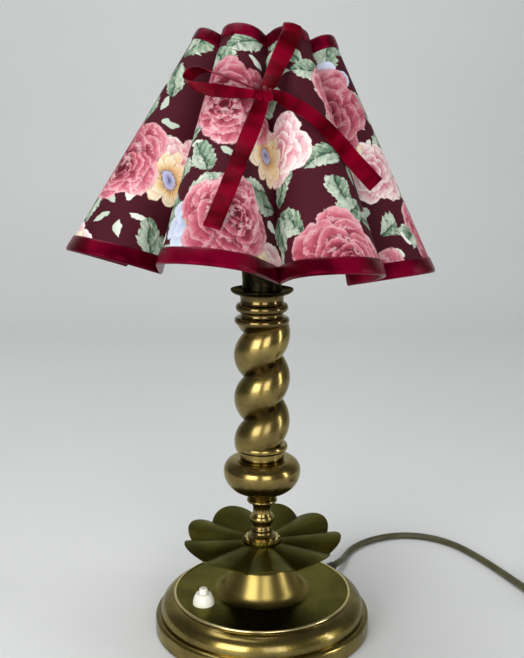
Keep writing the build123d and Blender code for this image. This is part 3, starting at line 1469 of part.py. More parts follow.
KNOT_MIDDLE = SHADE.from_local_coords(ribbon_point(KNOT_ANGLE, KNOT_Z, KNOT_STAND))
KNOT_OUT = SHADE.from_local_coords(outward(KNOT_ANGLE)) - SHADE.origin
with BuildPart() as ribbon_knot:
    with BuildSketch(Plane(origin=KNOT_MIDDLE, x_dir=KNOT_OUT.cross(SHADE.z_dir), z_dir=KNOT_OUT)):
        RectangleRounded(KNOT_W, KNOT_H, KNOT_CORNER)
    extrude(amount=KNOT_T / 2, both=True)
    fillet(ribbon_knot.faces().filter_by(Axis(KNOT_MIDDLE, KNOT_OUT)).edges(), KNOT_ROUND)
save(ribbon_knot, "ribbon_knot")
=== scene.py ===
"""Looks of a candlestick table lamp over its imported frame. Sizes are in millimetres until a mesh is made."""
from math import acos, atan2, cos, degrees, pi, radians, sin

import bpy
import numpy as np
from mathutils import Matrix, Vector


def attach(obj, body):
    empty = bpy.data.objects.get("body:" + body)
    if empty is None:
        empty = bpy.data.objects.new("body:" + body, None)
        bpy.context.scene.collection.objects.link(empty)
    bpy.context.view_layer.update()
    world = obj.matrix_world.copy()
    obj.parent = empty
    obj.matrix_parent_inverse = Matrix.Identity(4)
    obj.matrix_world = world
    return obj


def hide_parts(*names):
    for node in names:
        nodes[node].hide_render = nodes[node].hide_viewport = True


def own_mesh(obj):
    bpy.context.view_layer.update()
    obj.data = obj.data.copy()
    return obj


MM = 0.001
# Millimetres of cloth or ribbon to one unit of its flat layout
FLAT_UNIT = 100.0
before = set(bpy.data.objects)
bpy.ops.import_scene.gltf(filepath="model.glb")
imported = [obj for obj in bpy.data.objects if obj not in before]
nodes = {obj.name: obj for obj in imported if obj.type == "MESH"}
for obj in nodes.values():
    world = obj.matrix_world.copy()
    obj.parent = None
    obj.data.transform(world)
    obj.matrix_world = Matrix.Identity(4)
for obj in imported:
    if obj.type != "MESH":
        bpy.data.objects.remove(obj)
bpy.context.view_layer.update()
scene = bpy.context.scene


def rgb(red, green, blue):
    """Linear colour from display values out of 255."""
    shares = [c / 255 for c in (red, green, blue)]
    return tuple(c / 12.92 if c <= 0.04045 else ((c + 0.055) / 1.055) ** 2.4 for c in shares) + (1.0,)


def between(first, second, share):
    """Linear colour a share of the way from one set of display values to another."""
    return rgb(*(a + (b - a) * share for a, b in zip(first, second)))


# Materials
class Graph:
    """Short ways to add shader nodes to one material."""

    def __init__(self, name):
        self.material = bpy.data.materials.new(name)
        self.material.use_nodes = True
        self.tree = self.material.node_tree
        self.shader = self.tree.nodes["Principled BSDF"]

    def put(self, socket, value):
        if isinstance(value, bpy.types.NodeSocket):
            self.tree.links.new(value, socket)
        else:
            socket.default_value = value

    def add(self, kind, **settings):
        node = self.tree.nodes.new(kind)
        for key, value in settings.items():
            setattr(node, key, value)
        return node

    def set(self, **values):
        for key, value in values.items():
            self.put(self.shader.inputs[key.replace("_", " ")], value)

    def place(self):
        """Place on the object, in metres."""
        return self.add("ShaderNodeTexCoord").outputs["Object"]

    def uv(self):
        return self.add("ShaderNodeUVMap", uv_map="flat").outputs["UV"]

    def math(self, operation, first, second=0.0, third=0.0):
        node = self.add("ShaderNodeMath", operation=operation)
        for socket, value in zip(node.inputs, (first, second, third)):
            self.put(socket, value)
        return node.outputs[0]

    def vector(self, operation, first, second=(0, 0, 0), scale=None):
        node = self.add("ShaderNodeVectorMath", operation=operation)
        self.put(node.inputs[0], first)
        self.put(node.inputs[1], second)
        if scale is not None:
            self.put(node.inputs["Scale"], scale)
        return node.outputs["Value" if operation == "LENGTH" else "Vector"]

    def split(self, vector):
        node = self.add("ShaderNodeSeparateXYZ")
        self.put(node.inputs[0], vector)
        return node.outputs

    def polar(self, vector):
        """First two parts of a vector and their distance from the middle."""
        x, y, _ = self.split(vector)
        return x, y, self.vector("LENGTH", self.vector("MULTIPLY", vector, (1.0, 1.0, 0.0)))

    def noise(self, vector, scale=1.0, detail=2.0, coloured=False):
        node = self.add("ShaderNodeTexNoise")
        self.put(node.inputs["Vector"], vector)
        node.inputs["Scale"].default_value = scale
        node.inputs["Detail"].default_value = detail
        return node.outputs[1 if coloured else 0]

    def mix(self, factor, first, second):
        # This node's colour sockets come after those for numbers and vectors
        node = self.add("ShaderNodeMix", data_type="RGBA")
        for index, value in ((0, factor), (6, first), (7, second)):
            self.put(node.inputs[index], value)
        return node.outputs[2]

    def tint(self, colour, tone, mask, most=1.0):
        """Colour with a tone laid over it where a mask shows, by a share at most."""
        return self.mix(mask if most == 1.0 else self.math("MULTIPLY", mask, most), colour, tone)

    def ramp(self, value, stops):
        node = self.add("ShaderNodeValToRGB")
        elements = node.color_ramp.elements
        while len(elements) < len(stops):
            elements.new(0.5)
        for element, (position, colour) in zip(elements, stops):
            element.position = position
            element.color = colour
        self.put(node.inputs[0], value)
        return node.outputs[0]

    def span(self, value, low, high, to_low=0.0, to_high=1.0):
        """Smooth step of a value from one range to another."""
        node = self.add("ShaderNodeMapRange", interpolation_type="SMOOTHSTEP")
        for socket, number in zip(node.inputs, (value, low, high, to_low, to_high)):
            self.put(socket, number)
        return node.outputs[0]

    def bump(self, height, distance, strength):
        """Fine relief, with the distance that a height of 1 stands out in millimetres."""
        node = self.add("ShaderNodeBump")
        node.inputs["Strength"].default_value = strength
        node.inputs["Distance"].default_value = distance * MM
        self.put(node.inputs["Height"], height)
        self.put(self.shader.inputs["Normal"], node.outputs[0])


def brass(name, bright, dull, smooth, rough, groove=None, painted_highlights=(), lacquer=0.4):
    """Aged brass: clouded tarnish, fine scratches, small dents, dirt in grooves and painted highlights, places
    coloured brighter.

    A groove has the radii where its dirt is full and where it ends. A painted highlight has the radii where it
    starts and where it is full, its colour, and how much rougher it is.
    """
    g = Graph(name)
    at = g.place()
    speck_tone, dirt_tone, edge_tone = rgb(70, 52, 24), rgb(62, 46, 20), rgb(230, 230, 204)
    scratch_finish, scratch_depth = 0.06, 0.12
    cloud = g.span(g.noise(at, scale=32.0, detail=4.0), low=0.35, high=0.68)
    speck = g.span(g.noise(at, scale=420.0, detail=3.0), low=0.52, high=0.75)
    scratch = g.noise(g.vector("MULTIPLY", at, (1.0, 1.0, 14.0)), scale=260.0)
    dents = g.noise(at, scale=60.0, detail=3.0)
    radius = g.polar(at)[2]

    colour = g.tint(g.mix(cloud, bright, dull), speck_tone, speck, most=0.35)
    if groove:
        full, end = groove
        colour = g.tint(colour, dirt_tone, g.span(radius, low=end * MM, high=full * MM), most=0.75)
    finish = g.math("MULTIPLY_ADD", scratch, scratch_finish, g.span(cloud, 0.0, 1.0, smooth, rough))
    # Painted highlights: a brighter colour laid over places by their radius, each also made rougher by its own
    # amount
    for start, full, highlight_colour, rougher in painted_highlights:
        share = g.span(radius, low=start * MM, high=full * MM)
        colour = g.tint(colour, highlight_colour, share)
        finish = g.math("MULTIPLY_ADD", share, rougher, finish)
    g.set(Base_Color=colour, Metallic=1.0, Specular_Tint=edge_tone, Roughness=finish)
    g.set(Coat_Weight=lacquer, Coat_Roughness=0.08)
    g.bump(g.math("MULTIPLY_ADD", scratch, scratch_depth, dents), distance=0.6, strength=0.22)
    return g.material


def plain(name, colour, shade, roughness, grain=600.0, depth=0.04, **sockets):
    """Moulded, painted or drawn finish with a fine grain and slight clouding."""
    g = Graph(name)
    at = g.place()
    spread = 0.12
    cloud = g.span(g.noise(at, scale=70.0, detail=3.0), low=0.3, high=0.75)
    fine = g.noise(at, scale=grain)
    g.set(Base_Color=g.mix(cloud, colour, shade))
    g.set(Roughness=g.math("MULTIPLY_ADD", fine, spread, roughness - spread / 2))
    g.set(**sockets)
    g.bump(fine, distance=depth, strength=0.6)
    return g.material


def satin(name, shaded, lit, tint):
    """Satin ribbon: long threads of its weave along it, a soft fold relief and a coloured sheen.

    Its colour is painted sheen and shade: mixed from a shaded to a lit tone by the fold noise, with lighter
    streaks along the weave.
    """
    g = Graph(name)
    flat = g.uv()
    ribs, rib_depth = 450.0, 0.01
    roughness, float_finish = 0.22, 0.06
    floats_and_sheen = g.noise(g.vector("MULTIPLY", flat, (6.0, 90.0, 0.0)), detail=3.0)
    folds_and_sheen = g.noise(g.vector("MULTIPLY", flat, (5.5, 3.0, 0.0)))
    rib = g.math("SINE", g.math("MULTIPLY", g.split(flat)[0], 2 * pi * ribs))
    # Painted sheen and shade: the fold noise mixes the colour from the shaded tone to the lit one
    colour = g.mix(g.span(folds_and_sheen, low=0.36, high=0.66), shaded, lit)
    # Painted sheen: lighter streaks along the weave's threads
    colour = g.tint(colour, lit, g.span(floats_and_sheen, low=0.45, high=0.75), most=0.1)
    g.set(Base_Color=colour, Specular_IOR_Level=0.3, Specular_Tint=tint)
    g.set(Sheen_Weight=0.04, Sheen_Roughness=0.35, Sheen_Tint=tint)
    g.set(Roughness=g.math("MULTIPLY_ADD", floats_and_sheen, float_finish, roughness))
    g.bump(g.math("MULTIPLY_ADD", rib, rib_depth, folds_and_sheen), distance=1.1, strength=0.5)
    return g.material


# Printed cotton, with its motifs in millimetres of flat cloth
def cells(g, at, size, shift, randomness):
    """Point in the turned frame of its nearest motif place, for places scattered over cells of a size."""
    moved = g.vector("ADD", at, (*shift, 0.0))
    node = g.add("ShaderNodeTexVoronoi", voronoi_dimensions="2D", feature="F1")
    g.put(node.inputs["Vector"], moved)
    node.inputs["Scale"].default_value = 1 / size
    node.inputs["Randomness"].default_value = randomness
    chance = g.split(node.outputs["Color"])[0]
    turn = g.add("ShaderNodeVectorRotate", rotation_type="Z_AXIS")
    g.put(turn.inputs["Vector"], g.vector("SUBTRACT", moved, node.outputs["Position"]))
    g.put(turn.inputs["Angle"], g.math("MULTIPLY", chance, 2 * pi))
    return turn.outputs[0]


def petals(g, local, radius, lobes, turn, depth, sharp, stops, centre=(0.0, 0.0)):
    """One ring of petals: its mask, its colour from the middle out to the petals' edges, and its lobes."""
    x, y, reach = g.polar(g.vector("SUBTRACT", local, (*centre, 0.0)))
    around = g.math("MULTIPLY_ADD", g.math("ARCTAN2", y, x), lobes / 2, turn)
    lobe = g.math("POWER", g.math("ABSOLUTE", g.math("SINE", around)), sharp)
    edge = g.math("MULTIPLY_ADD", lobe, radius * depth, radius * (1 - depth))
    share = g.math("DIVIDE", reach, edge)
    return g.span(share, low=1.0, high=0.97), g.ramp(share, stops), lobe


def leaf_shape(g, local, leaves, first, length, width, jag):
    """Leaves that fan out of a place: their mask, the share of a leaf's length, and the place to its side."""
    teeth, fullness, edge_blur = 7.0, 0.7, 0.5
    x, y, reach = g.polar(local)
    sector = 2 * pi / leaves
    angle = g.math("SUBTRACT", g.math("FLOORED_MODULO", g.math("ARCTAN2", y, x), sector), sector / 2)
    along = g.math("SUBTRACT", g.math("MULTIPLY", reach, g.math("COSINE", angle)), first)
    side = g.math("MULTIPLY", reach, g.math("SINE", angle))
    share = g.math("DIVIDE", along, length)
    arch = g.math("MAXIMUM", g.math("SINE", g.math("MULTIPLY", share, pi)), 0.0)
    tooth = g.math("FRACT", g.math("MULTIPLY", share, teeth))
    half = g.math("MULTIPLY", g.math("POWER", arch, fullness), width)
    half = g.math("MULTIPLY", half, g.math("MULTIPLY_ADD", tooth, jag, 1 - jag))
    inside = g.math("SUBTRACT", half, g.math("ABSOLUTE", side))
    ends = g.math("MULTIPLY", g.math("GREATER_THAN", share, 0.0), g.math("LESS_THAN", share, 1.0))
    return g.math("MULTIPLY", g.span(inside, 0.0, edge_blur), ends), share, side


def leaf_tone(g, share, side, width):
    """Colour of a leaf with a midrib, side veins and a pale half."""
    veins, vein_slant, vein_show, pale_at = 6.0, -0.22, 0.35, 1.6
    away = g.math("ABSOLUTE", side)
    vein = g.math("FRACT", g.math("MULTIPLY_ADD", away, vein_slant, g.math("MULTIPLY", share, veins)))
    tone = g.math("ADD", g.math("DIVIDE", away, width * pale_at), g.math("MULTIPLY", vein, vein_show))
    colour = g.ramp(tone, [
        (0.0, rgb(44, 76, 58)), (0.25, rgb(92, 122, 98)),
        (0.55, rgb(146, 168, 142)), (0.9, rgb(204, 214, 196)),
    ])
    colour = g.tint(colour, rgb(208, 217, 200), g.span(side, low=-0.5, high=1.5), most=0.5)
    return g.tint(colour, rgb(52, 78, 60), g.span(away, low=0.7, high=0.3))


def leaflets(g, at, colour):
    """Fans of pale leaflets over a colour."""
    local = cells(g, at, size=49.0, shift=(3.0, 8.0), randomness=0.35)
    mask, _, _ = leaf_shape(g, local, leaves=5, first=6.5, length=11.5, width=2.7, jag=0.0)
    across = g.split(local)[1]
    tone = g.mix(g.span(across, low=-6.0, high=6.0), rgb(228, 230, 218), rgb(186, 200, 182))
    return g.tint(colour, tone, mask)


def leaf_sprays(g, at, brush, colour):
    """Sprays of large veined leaves over a colour."""
    for size, shift, count, first, length, width in (
        (64.0, (20.0, 12.0), 3, 3.0, 27.0, 8.2),
        (83.0, (52.0, 40.0), 4, 14.0, 26.0, 9.0),
    ):
        local = cells(g, at, size, shift, randomness=0.5)
        mask, share, side = leaf_shape(g, local, count, first, length, width, jag=0.16)
        tone = leaf_tone(g, share, side, width)
        tone = g.tint(tone, rgb(226, 231, 216), g.span(brush, low=0.5, high=0.7), most=0.5)
        tone = g.tint(tone, rgb(48, 78, 62), g.span(brush, low=0.48, high=0.3), most=0.65)
        colour = g.tint(colour, tone, mask)
    return colour


def blue_flowers(g, at, brush, colour):
    """Pale blue flowers with a brown heart over a colour."""
    local = cells(g, at, size=101.0, shift=(71.0, 22.0), randomness=0.45)
    blues = [
        (0.0, rgb(96, 106, 150)), (0.3, rgb(138, 151, 190)), (0.6, rgb(170, 181, 208)),
        (0.93, rgb(206, 213, 229)), (1.0, rgb(140, 150, 186)),
    ]
    browns = [(0.0, rgb(150, 110, 60)), (1.0, rgb(214, 180, 110))]
    for radius, lobes, turn in ((19.0, 6, 0.2), (12.0, 5, 0.9)):
        mask, tone, _ = petals(g, local, radius, lobes, turn, depth=0.34, sharp=0.55, stops=blues)
        tone = g.tint(tone, rgb(212, 217, 228), brush, most=0.5)
        colour = g.tint(colour, tone, mask)
    mask, tone, _ = petals(g, local, radius=3.6, lobes=9, turn=0.0, depth=0.2, sharp=1.0, stops=browns)
    return g.tint(colour, tone, mask)


def blush_roses(g, at, brush, colour):
    """Blush roses, nearly white at their petals' edges, over a colour."""
    local = cells(g, at, size=97.0, shift=(12.0, 55.0), randomness=0.4)
    blushes = [
        (0.4, rgb(176, 84, 106)), (0.62, rgb(220, 150, 162)), (0.85, rgb(242, 214, 214)),
        (0.96, rgb(248, 236, 230)), (1.0, rgb(170, 90, 108)),
    ]
    petal_depth, petal_sharp = 0.3, 0.6
    rings = ((23.0, 4, 0.9), (18.0, 3, 0.1), (12.5, 3, 1.4), (7.5, 2, 0.6))
    for number, (radius, lobes, turn) in enumerate(rings):
        centre = (0.6 * number, 1.1 * number)
        mask, tone, _ = petals(g, local, radius, lobes, turn, petal_depth, petal_sharp, blushes, centre)
        tone = g.tint(tone, rgb(198, 112, 132), g.span(brush, low=0.5, high=0.34), most=0.6)
        colour = g.tint(colour, tone, mask)
    return colour


def cream_flowers(g, at, colour):
    """Cream flowers with a lilac heart over a colour."""
    local = cells(g, at, size=88.0, shift=(31.0, 68.0), randomness=0.45)
    creams = [
        (0.2, rgb(150, 104, 62)), (0.42, rgb(205, 160, 104)), (0.68, rgb(238, 212, 164)),
        (0.93, rgb(247, 236, 212)), (1.0, rgb(205, 160, 105)),
    ]
    lilacs = [
        (0.0, rgb(70, 70, 110)), (0.3, rgb(150, 155, 205)),
        (0.75, rgb(196, 200, 228)), (1.0, rgb(110, 84, 66)),
    ]
    for radius, lobes, turn in ((18.5, 9, 0.0), (14.5, 8, 0.7)):
        mask, tone, lobe = petals(g, local, radius, lobes, turn, depth=0.36, sharp=0.5, stops=creams)
        tone = g.tint(tone, rgb(176, 128, 78), g.span(lobe, low=0.45, high=0.15))
        colour = g.tint(colour, tone, mask)
    mask, tone, _ = petals(g, local, radius=6.2, lobes=14, turn=0.0, depth=0.16, sharp=1.0, stops=lilacs)
    return g.tint(colour, tone, mask)


def roses(g, at, colour):
    """Roses over a colour: rings of petals that close round a heart off the middle and darken towards it."""
    local = cells(g, at, size=92.0, shift=(46.0, 30.0), randomness=0.3)
    light = g.span(g.split(local)[1], low=-24.0, high=26.0)
    streak = g.noise(g.vector("MULTIPLY", local, (0.2, 0.06, 1.0)), detail=3.0)
    petal_depth, petal_sharp, shadow = 0.26, 0.6, 0.4
    rings = (
        (32.0, 5, 0.3, 0.0), (27.0, 5, 1.2, 1.0), (22.0, 4, 0.5, 3.2), (16.8, 3, 1.6, 5.2),
        (12.2, 3, 0.4, 6.6), (8.0, 3, 1.9, 7.4), (4.4, 2, 0.8, 7.8),
    )
    for number, (radius, lobes, turn, step) in enumerate(rings):
        sink = number / (len(rings) - 1)
        dark = between((132, 36, 58), (88, 18, 32), sink)
        middle = between((190, 88, 108), (150, 60, 76), sink)
        body = between((218, 128, 144), (200, 106, 122), sink)
        edge = between((238, 186, 190), (212, 138, 144), sink)
        stops = [(0.64, dark), (0.79, middle), (0.9, body), (0.97, edge), (1.0, dark)]
        centre = (0.4 * step, 0.9 * step)
        mask, tone, lobe = petals(g, local, radius, lobes, turn, petal_depth, petal_sharp, stops, centre)
        tone = g.tint(tone, dark, g.span(lobe, low=0.5, high=0.1), most=0.75)
        tone = g.tint(tone, rgb(244, 208, 210), g.span(streak, low=0.52, high=0.66), most=0.6)
        tone = g.tint(tone, dark, g.span(streak, low=0.47, high=0.34), most=0.55)
        tone = g.tint(tone, dark, g.math("MULTIPLY_ADD", light, -shadow, shadow))
        colour = g.tint(colour, tone, mask)
    return colour


def print_cloth(name):
    """Printed cotton: roses, open flowers, leaves and leaflets scattered over a plum ground."""
    g = Graph(name)
    flat = g.vector("SCALE", g.uv(), scale=FLAT_UNIT)
    middle = (0.5, 0.5, 0.5)
    wander = g.vector("SUBTRACT", g.noise(flat, scale=0.07, coloured=True), middle)
    ripple = g.vector("SUBTRACT", g.noise(flat, scale=0.5, coloured=True), middle)
    shift = g.vector("ADD", g.vector("SCALE", wander, scale=9.0), g.vector("SCALE", ripple, scale=2.0))
    at = g.vector("ADD", flat, shift)
    brush = g.noise(g.vector("MULTIPLY", at, (0.35, 0.12, 1.0)), detail=3.0)

    colour = g.mix(g.noise(flat, scale=0.03), rgb(60, 9, 22), rgb(74, 14, 30))
    colour = leaflets(g, at, colour)
    colour = leaf_sprays(g, at, brush, colour)
    colour = blue_flowers(g, at, brush, colour)
    colour = blush_roses(g, at, brush, colour)
    colour = cream_flowers(g, at, colour)
    colour = roses(g, at, colour)

    thread, thread_show, slub_depth = 0.55, 0.04, 0.8
    roughness, slub_finish = 0.55, 0.2
    u, v, _ = g.split(flat)
    warp = g.math("SINE", g.math("MULTIPLY", u, 2 * pi / thread))
    weft = g.math("SINE", g.math("MULTIPLY", v, 2 * pi / thread))
    weave = g.math("MULTIPLY", warp, weft)
    slub = g.noise(g.vector("MULTIPLY", flat, (0.4, 6.0, 1.0)))
    colour = g.tint(colour, rgb(30, 10, 16), g.math("MULTIPLY_ADD", weave, thread_show, thread_show))
    g.set(Base_Color=colour, Specular_IOR_Level=0.15)
    g.set(Roughness=g.math("MULTIPLY_ADD", slub, slub_finish, roughness))
    g.bump(g.math("MULTIPLY_ADD", slub, slub_depth, weave), distance=0.08, strength=0.5)
    return g.material


# Radii of the twist's dirty groove, and the painted highlights on the dome plate: its bell, also made rougher,
# and its rim bead
TWIST_GROOVE = (13.5, 17.5)
BELL_HIGHLIGHT = (35.5, 32.5, rgb(130, 114, 63), 0.13)
RIM_HIGHLIGHT = (62.5, 63.0, rgb(214, 198, 146), 0.0)
BRASS = brass("aged_brass", rgb(140, 120, 62), rgb(99, 83, 40), 0.15, 0.27)
BRASS_TWIST = brass("aged_brass_twist", rgb(149, 129, 70), rgb(107, 91, 45), 0.15, 0.27, groove=TWIST_GROOVE)
BRASS_DISH = brass("dark_brass_dish", rgb(80, 76, 31), rgb(58, 54, 20), 0.27, 0.38, lacquer=0.0)
# Dome plate: base colour darkened as a painted reflection of the dark dish above it, with painted highlights
# on its bell and rim bead
BRASS_PLATE_PAINTED_LIGHT = brass(
    "plate_brass_painted_reflections", rgb(98, 92, 42), rgb(74, 68, 29), 0.15, 0.23, painted_highlights=(BELL_HIGHLIGHT, RIM_HIGHLIGHT), lacquer=0.0,
)
# Column cap: painted shade from the shade above it, a little redder as a painted reflection of the crimson
# binding
BRASS_CAP_PAINTED_SHADE = brass("cap_brass_painted_shade", rgb(98, 80, 39), rgb(70, 54, 25), 0.15, 0.26)
# Candle cup and drip pan: painted shade, near black for the shadow under the lampshade
BRASS_PAINTED_SHADE = brass("cup_brass_painted_shade", rgb(20, 19, 11), rgb(12, 11, 7), 0.25, 0.36, lacquer=0.0)
# Crown washer: pale brass as a painted highlight
BRASS_PAINTED_HIGHLIGHT = brass("crown_brass_painted_highlight", rgb(208, 190, 132), rgb(176, 156, 98), 0.12, 0.2)
BRASS_FOOT = brass("aged_brass_foot", rgb(142, 124, 63), rgb(100, 87, 42), 0.17, 0.29)
STEEL = plain("zinc_steel", rgb(168, 170, 172), rgb(132, 134, 136), 0.35, Metallic=1.0)
IRON = plain("cast_iron", rgb(62, 60, 58), rgb(42, 40, 39), 0.7, grain=300.0, depth=0.3)
FELT = plain("green_felt", rgb(44, 62, 42), rgb(30, 44, 30), 0.95, grain=1400.0, depth=0.4, Sheen_Weight=0.3)
CREAM = plain("cream_plastic", rgb(244, 243, 228), rgb(232, 229, 208), 0.28)
CORD = plain("olive_lead", rgb(74, 71, 40), rgb(58, 55, 30), 0.45)
RUBBER = plain("dark_rubber", rgb(38, 36, 24), rgb(28, 27, 18), 0.6)
TIE = plain("black_tie", rgb(40, 40, 40), rgb(28, 28, 28), 0.5)
CORE = plain("core_sleeve", rgb(60, 84, 150), rgb(48, 66, 124), 0.45)
SLEEVE = plain("ivory_sleeve", rgb(236, 228, 202), rgb(222, 211, 180), 0.4)
HOLDER = plain("dark_moulding", rgb(44, 38, 32), rgb(32, 28, 24), 0.4)
ALUMINIUM = plain("bright_aluminium", rgb(205, 205, 200), rgb(178, 178, 172), 0.25, Metallic=1.0)
WIRE = plain("cream_wire", rgb(214, 206, 176), rgb(190, 180, 148), 0.4)
GLASS = plain(
    "clear_glass", rgb(250, 250, 248), rgb(244, 246, 244), 0.1, grain=40.0, depth=0.02,
    Transmission_Weight=1.0, IOR=1.45,
)
LINING = plain("pale_lining", rgb(232, 224, 208), rgb(218, 208, 188), 0.7, grain=1500.0, depth=0.12)
PRINT = print_cloth("printed_cotton")
# Satin colours: a shaded tone and a lit tone for the painted sheen, then the sheen's tint
BINDING = satin("crimson_binding", rgb(54, 0, 9), rgb(102, 2, 30), rgb(225, 40, 95))
RIBBON = satin("crimson_ribbon", rgb(58, 0, 3), rgb(114, 1, 26), rgb(230, 40, 95))

FINISHES = {
    BRASS: "switch_terminals plug_pins stem_turning knop knop_collar thread_shell centre_contact "
           "pivot_screws dish_spacer",
    BRASS_TWIST: "twist_column",
    BRASS_DISH: "petal_dish",
    BRASS_PLATE_PAINTED_LIGHT: "dome_plate",
    BRASS_CAP_PAINTED_SHADE: "column_cap",
    BRASS_PAINTED_SHADE: "candle_cup drip_pan",
    BRASS_PAINTED_HIGHLIGHT: "crown_washer",
    BRASS_FOOT: "base_foot",
    STEEL: "base_cover cover_screws central_rod bottom_washer bottom_nut top_nut switch_spring "
           "holder_base bulb_filament",
    IRON: "base_weight",
    FELT: "felt_pad",
    CREAM: "switch_button switch_cap_nut",
    CORD: "plug_body",
    RUBBER: "cord_bush",
    TIE: "cord_tie",
    CORE: "neutral_core live_core switched_core",
    SLEEVE: "candle_sleeve",
    HOLDER: "switch_body lampholder_body",
    ALUMINIUM: "bulb_pip bulb_cap",
    WIRE: "bulb_clip shade_spider shade_lower_ring shade_ribs",
    GLASS: "bulb_glass bulb_stem",
}
for finish, names in FINISHES.items():
    for name in names.split():
        nodes[name].data.materials.clear()
        nodes[name].data.materials.append(finish)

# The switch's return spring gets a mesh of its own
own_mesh(nodes["switch_spring"])


# Meshes
def swept(name, rings, flats, materials, body, closed=False, kinds=None, sharp=()):
    """Mesh through rings of points in metres, with capped ends unless the rings close round.

    flats has a flat place for each point of a ring and one more, and one more ring where they close round.
    kinds has a material for each side of a ring, and sharp has the rings that are creases.
    """
    stations, points = rings.shape[0], rings.shape[1]
    mesh = bpy.data.meshes.new(name)
    faces, places, indices = [], [], []
    for i in range(stations if closed else stations - 1):
        here, there = i * points, (i + 1) % stations * points
        for j in range(points):
            onward = (j + 1) % points
            faces.append((here + j, there + j, there + onward, here + onward))
            places += [flats[i, j], flats[i + 1, j], flats[i + 1, j + 1], flats[i, j + 1]]
            indices.append(kinds[j] if kinds else 0)
    if not closed:
        for i in (0, stations - 1):
            cap = [i * points + j for j in range(points)]
            faces.append(cap if i == 0 else cap[::-1])
            places += [flats[i, j] for j in range(points)]
            indices.append(0)
    mesh.from_pydata(rings.reshape(-1, 3).tolist(), [], faces)
    layer = mesh.uv_layers.new(name="flat")
    layer.data.foreach_set("uv", np.array(places, np.float32).reshape(-1))
    for material in materials:
        mesh.materials.append(material)
    mesh.polygons.foreach_set("material_index", indices)
    mesh.polygons.foreach_set("use_smooth", [True] * len(faces))
    for edge in mesh.edges:
        first, second = (v // points for v in edge.vertices)
        if first == second and first in sharp:
            edge.use_edge_sharp = True
    mesh.update()
    piece = bpy.data.objects.new(name, mesh)
    scene.collection.objects.link(piece)
    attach(piece, body)
    return piece


def unit(vector):
    return vector / np.linalg.norm(vector)


# Shade, in its own leaning frame with heights counted from the pivot: (radius, height) points and degrees
PIVOT = np.array((0.0, 0.0, 373.0))
LEAN, HINGE = 5.2, 140.0
SCALLOPS = 8
TOP_RIDGE, TOP_VALLEY = (46.0, 44.8), (38.0, 38.9)
LOW_RIDGE, LOW_VALLEY = (125.5, -100.5), (82.0, -111.5)
TOP_PHASE, LOW_PHASE = -1.0, 11.5
FOLD_TURNS = (3.5, -4.0, -2.0, 0.0, 0.0, 0.0, -2.0, -6.0)
LOW_DRIFT = -4.5
TOP_BOW, LOW_BOW = 13.0, 30.0
LOFT_TOP, LOFT_LOW = 47.8, -114.5
FLANK_STEPS, BOW_STEPS = 7, 18
EDGE_ROUNDS = 12
lean = np.array(Matrix.Rotation(radians(LEAN), 3, Vector((cos(radians(HINGE)), sin(radians(HINGE)), 0))))


def leaning(points):
    """Points of the shade's frame as places in metres."""
    return (np.asarray(points) @ lean.T + PIVOT) * MM


def line(height, top, low):
    """Value at a height on the straight line between two (value, height) points."""
    return top[0] + (height - top[1]) * (low[0] - top[0]) / (low[1] - top[1])


def front(angle, radius):
    """Point at an angle in degrees from the front."""
    return np.array((radius * np.sin(np.radians(angle)), -radius * np.cos(np.radians(angle))))


def turned(vector, angle):
    """Flat vector turned by an angle in degrees."""
    c, s = cos(radians(angle)), sin(radians(angle))
    return np.array((c * vector[0] - s * vector[1], s * vector[0] + c * vector[1]))


def fold_angle(height, fold):
    """Angle of a fold at a height: evenly spaced at the top and turned at the bottom."""
    low = LOW_PHASE + FOLD_TURNS[fold % SCALLOPS]
    return 360 / SCALLOPS * fold + line(height, (TOP_PHASE, TOP_VALLEY[1]), (low, LOW_VALLEY[1]))


def drift(height):
    """Sideways place of the shade's middle at a height."""
    return line(height, (0.0, TOP_VALLEY[1]), (LOW_DRIFT, LOW_VALLEY[1]))


def section(height):
    """Points round the scallops at a height, starting in a fold at the back."""
    ridge, valley = line(height, TOP_RIDGE, LOW_RIDGE), line(height, TOP_VALLEY, LOW_VALLEY)
    bow = line(height, (TOP_BOW, TOP_RIDGE[1]), (LOW_BOW, LOW_RIDGE[1]))
    points = []
    for k in range(-SCALLOPS // 2, SCALLOPS // 2):
        angle_in, angle_out = fold_angle(height, k), fold_angle(height, k + 1)
        hub = front((angle_in + angle_out) / 2, ridge - bow)
        fold_in, fold_out = front(angle_in, valley), front(angle_out, valley)
        reach = np.linalg.norm(fold_in - hub)
        turn = degrees(acos(bow / reach))
        touch_in = hub + turned(fold_in - hub, turn) * bow / reach
        touch_out = hub + turned(fold_out - hub, -turn) * bow / reach
        start = atan2(*(touch_in - hub)[::-1])
        sweep = (atan2(*(touch_out - hub)[::-1]) - start) % (2 * pi)
        for j in range(FLANK_STEPS):
            points.append(fold_in + (touch_in - fold_in) * j / FLANK_STEPS)
        for j in range(BOW_STEPS):
            angle = start + sweep * j / BOW_STEPS
            points.append(hub + bow * np.array((cos(angle), sin(angle))))
        for j in range(FLANK_STEPS):
            points.append(touch_out + (fold_out - touch_out) * j / FLANK_STEPS)
    points = np.array(points) + (drift(height), 0.0)
    return np.column_stack((points, np.full(len(points), height)))


low_line, top_line = section(LOFT_LOW), section(LOFT_TOP)
COLUMNS = len(low_line)
PER_SCALLOP = COLUMNS // SCALLOPS
way = top_line - low_line
slant = np.linalg.norm(way, axis=1)


def edge_share(valley, ridge):
    """Share of each straight line of the shade at which it meets an edge from valley to ridge."""
    slope = (ridge[1] - valley[1]) / (ridge[0] - valley[0])
    share = np.full(COLUMNS, 0.5)
    for _ in range(EDGE_ROUNDS):
        radius = np.linalg.norm((low_line + way * share[:, None])[:, :2], axis=1)
        height = valley[1] + (radius - valley[0]) * slope
        share = (height - LOFT_LOW) / (LOFT_TOP - LOFT_LOW)
    return share


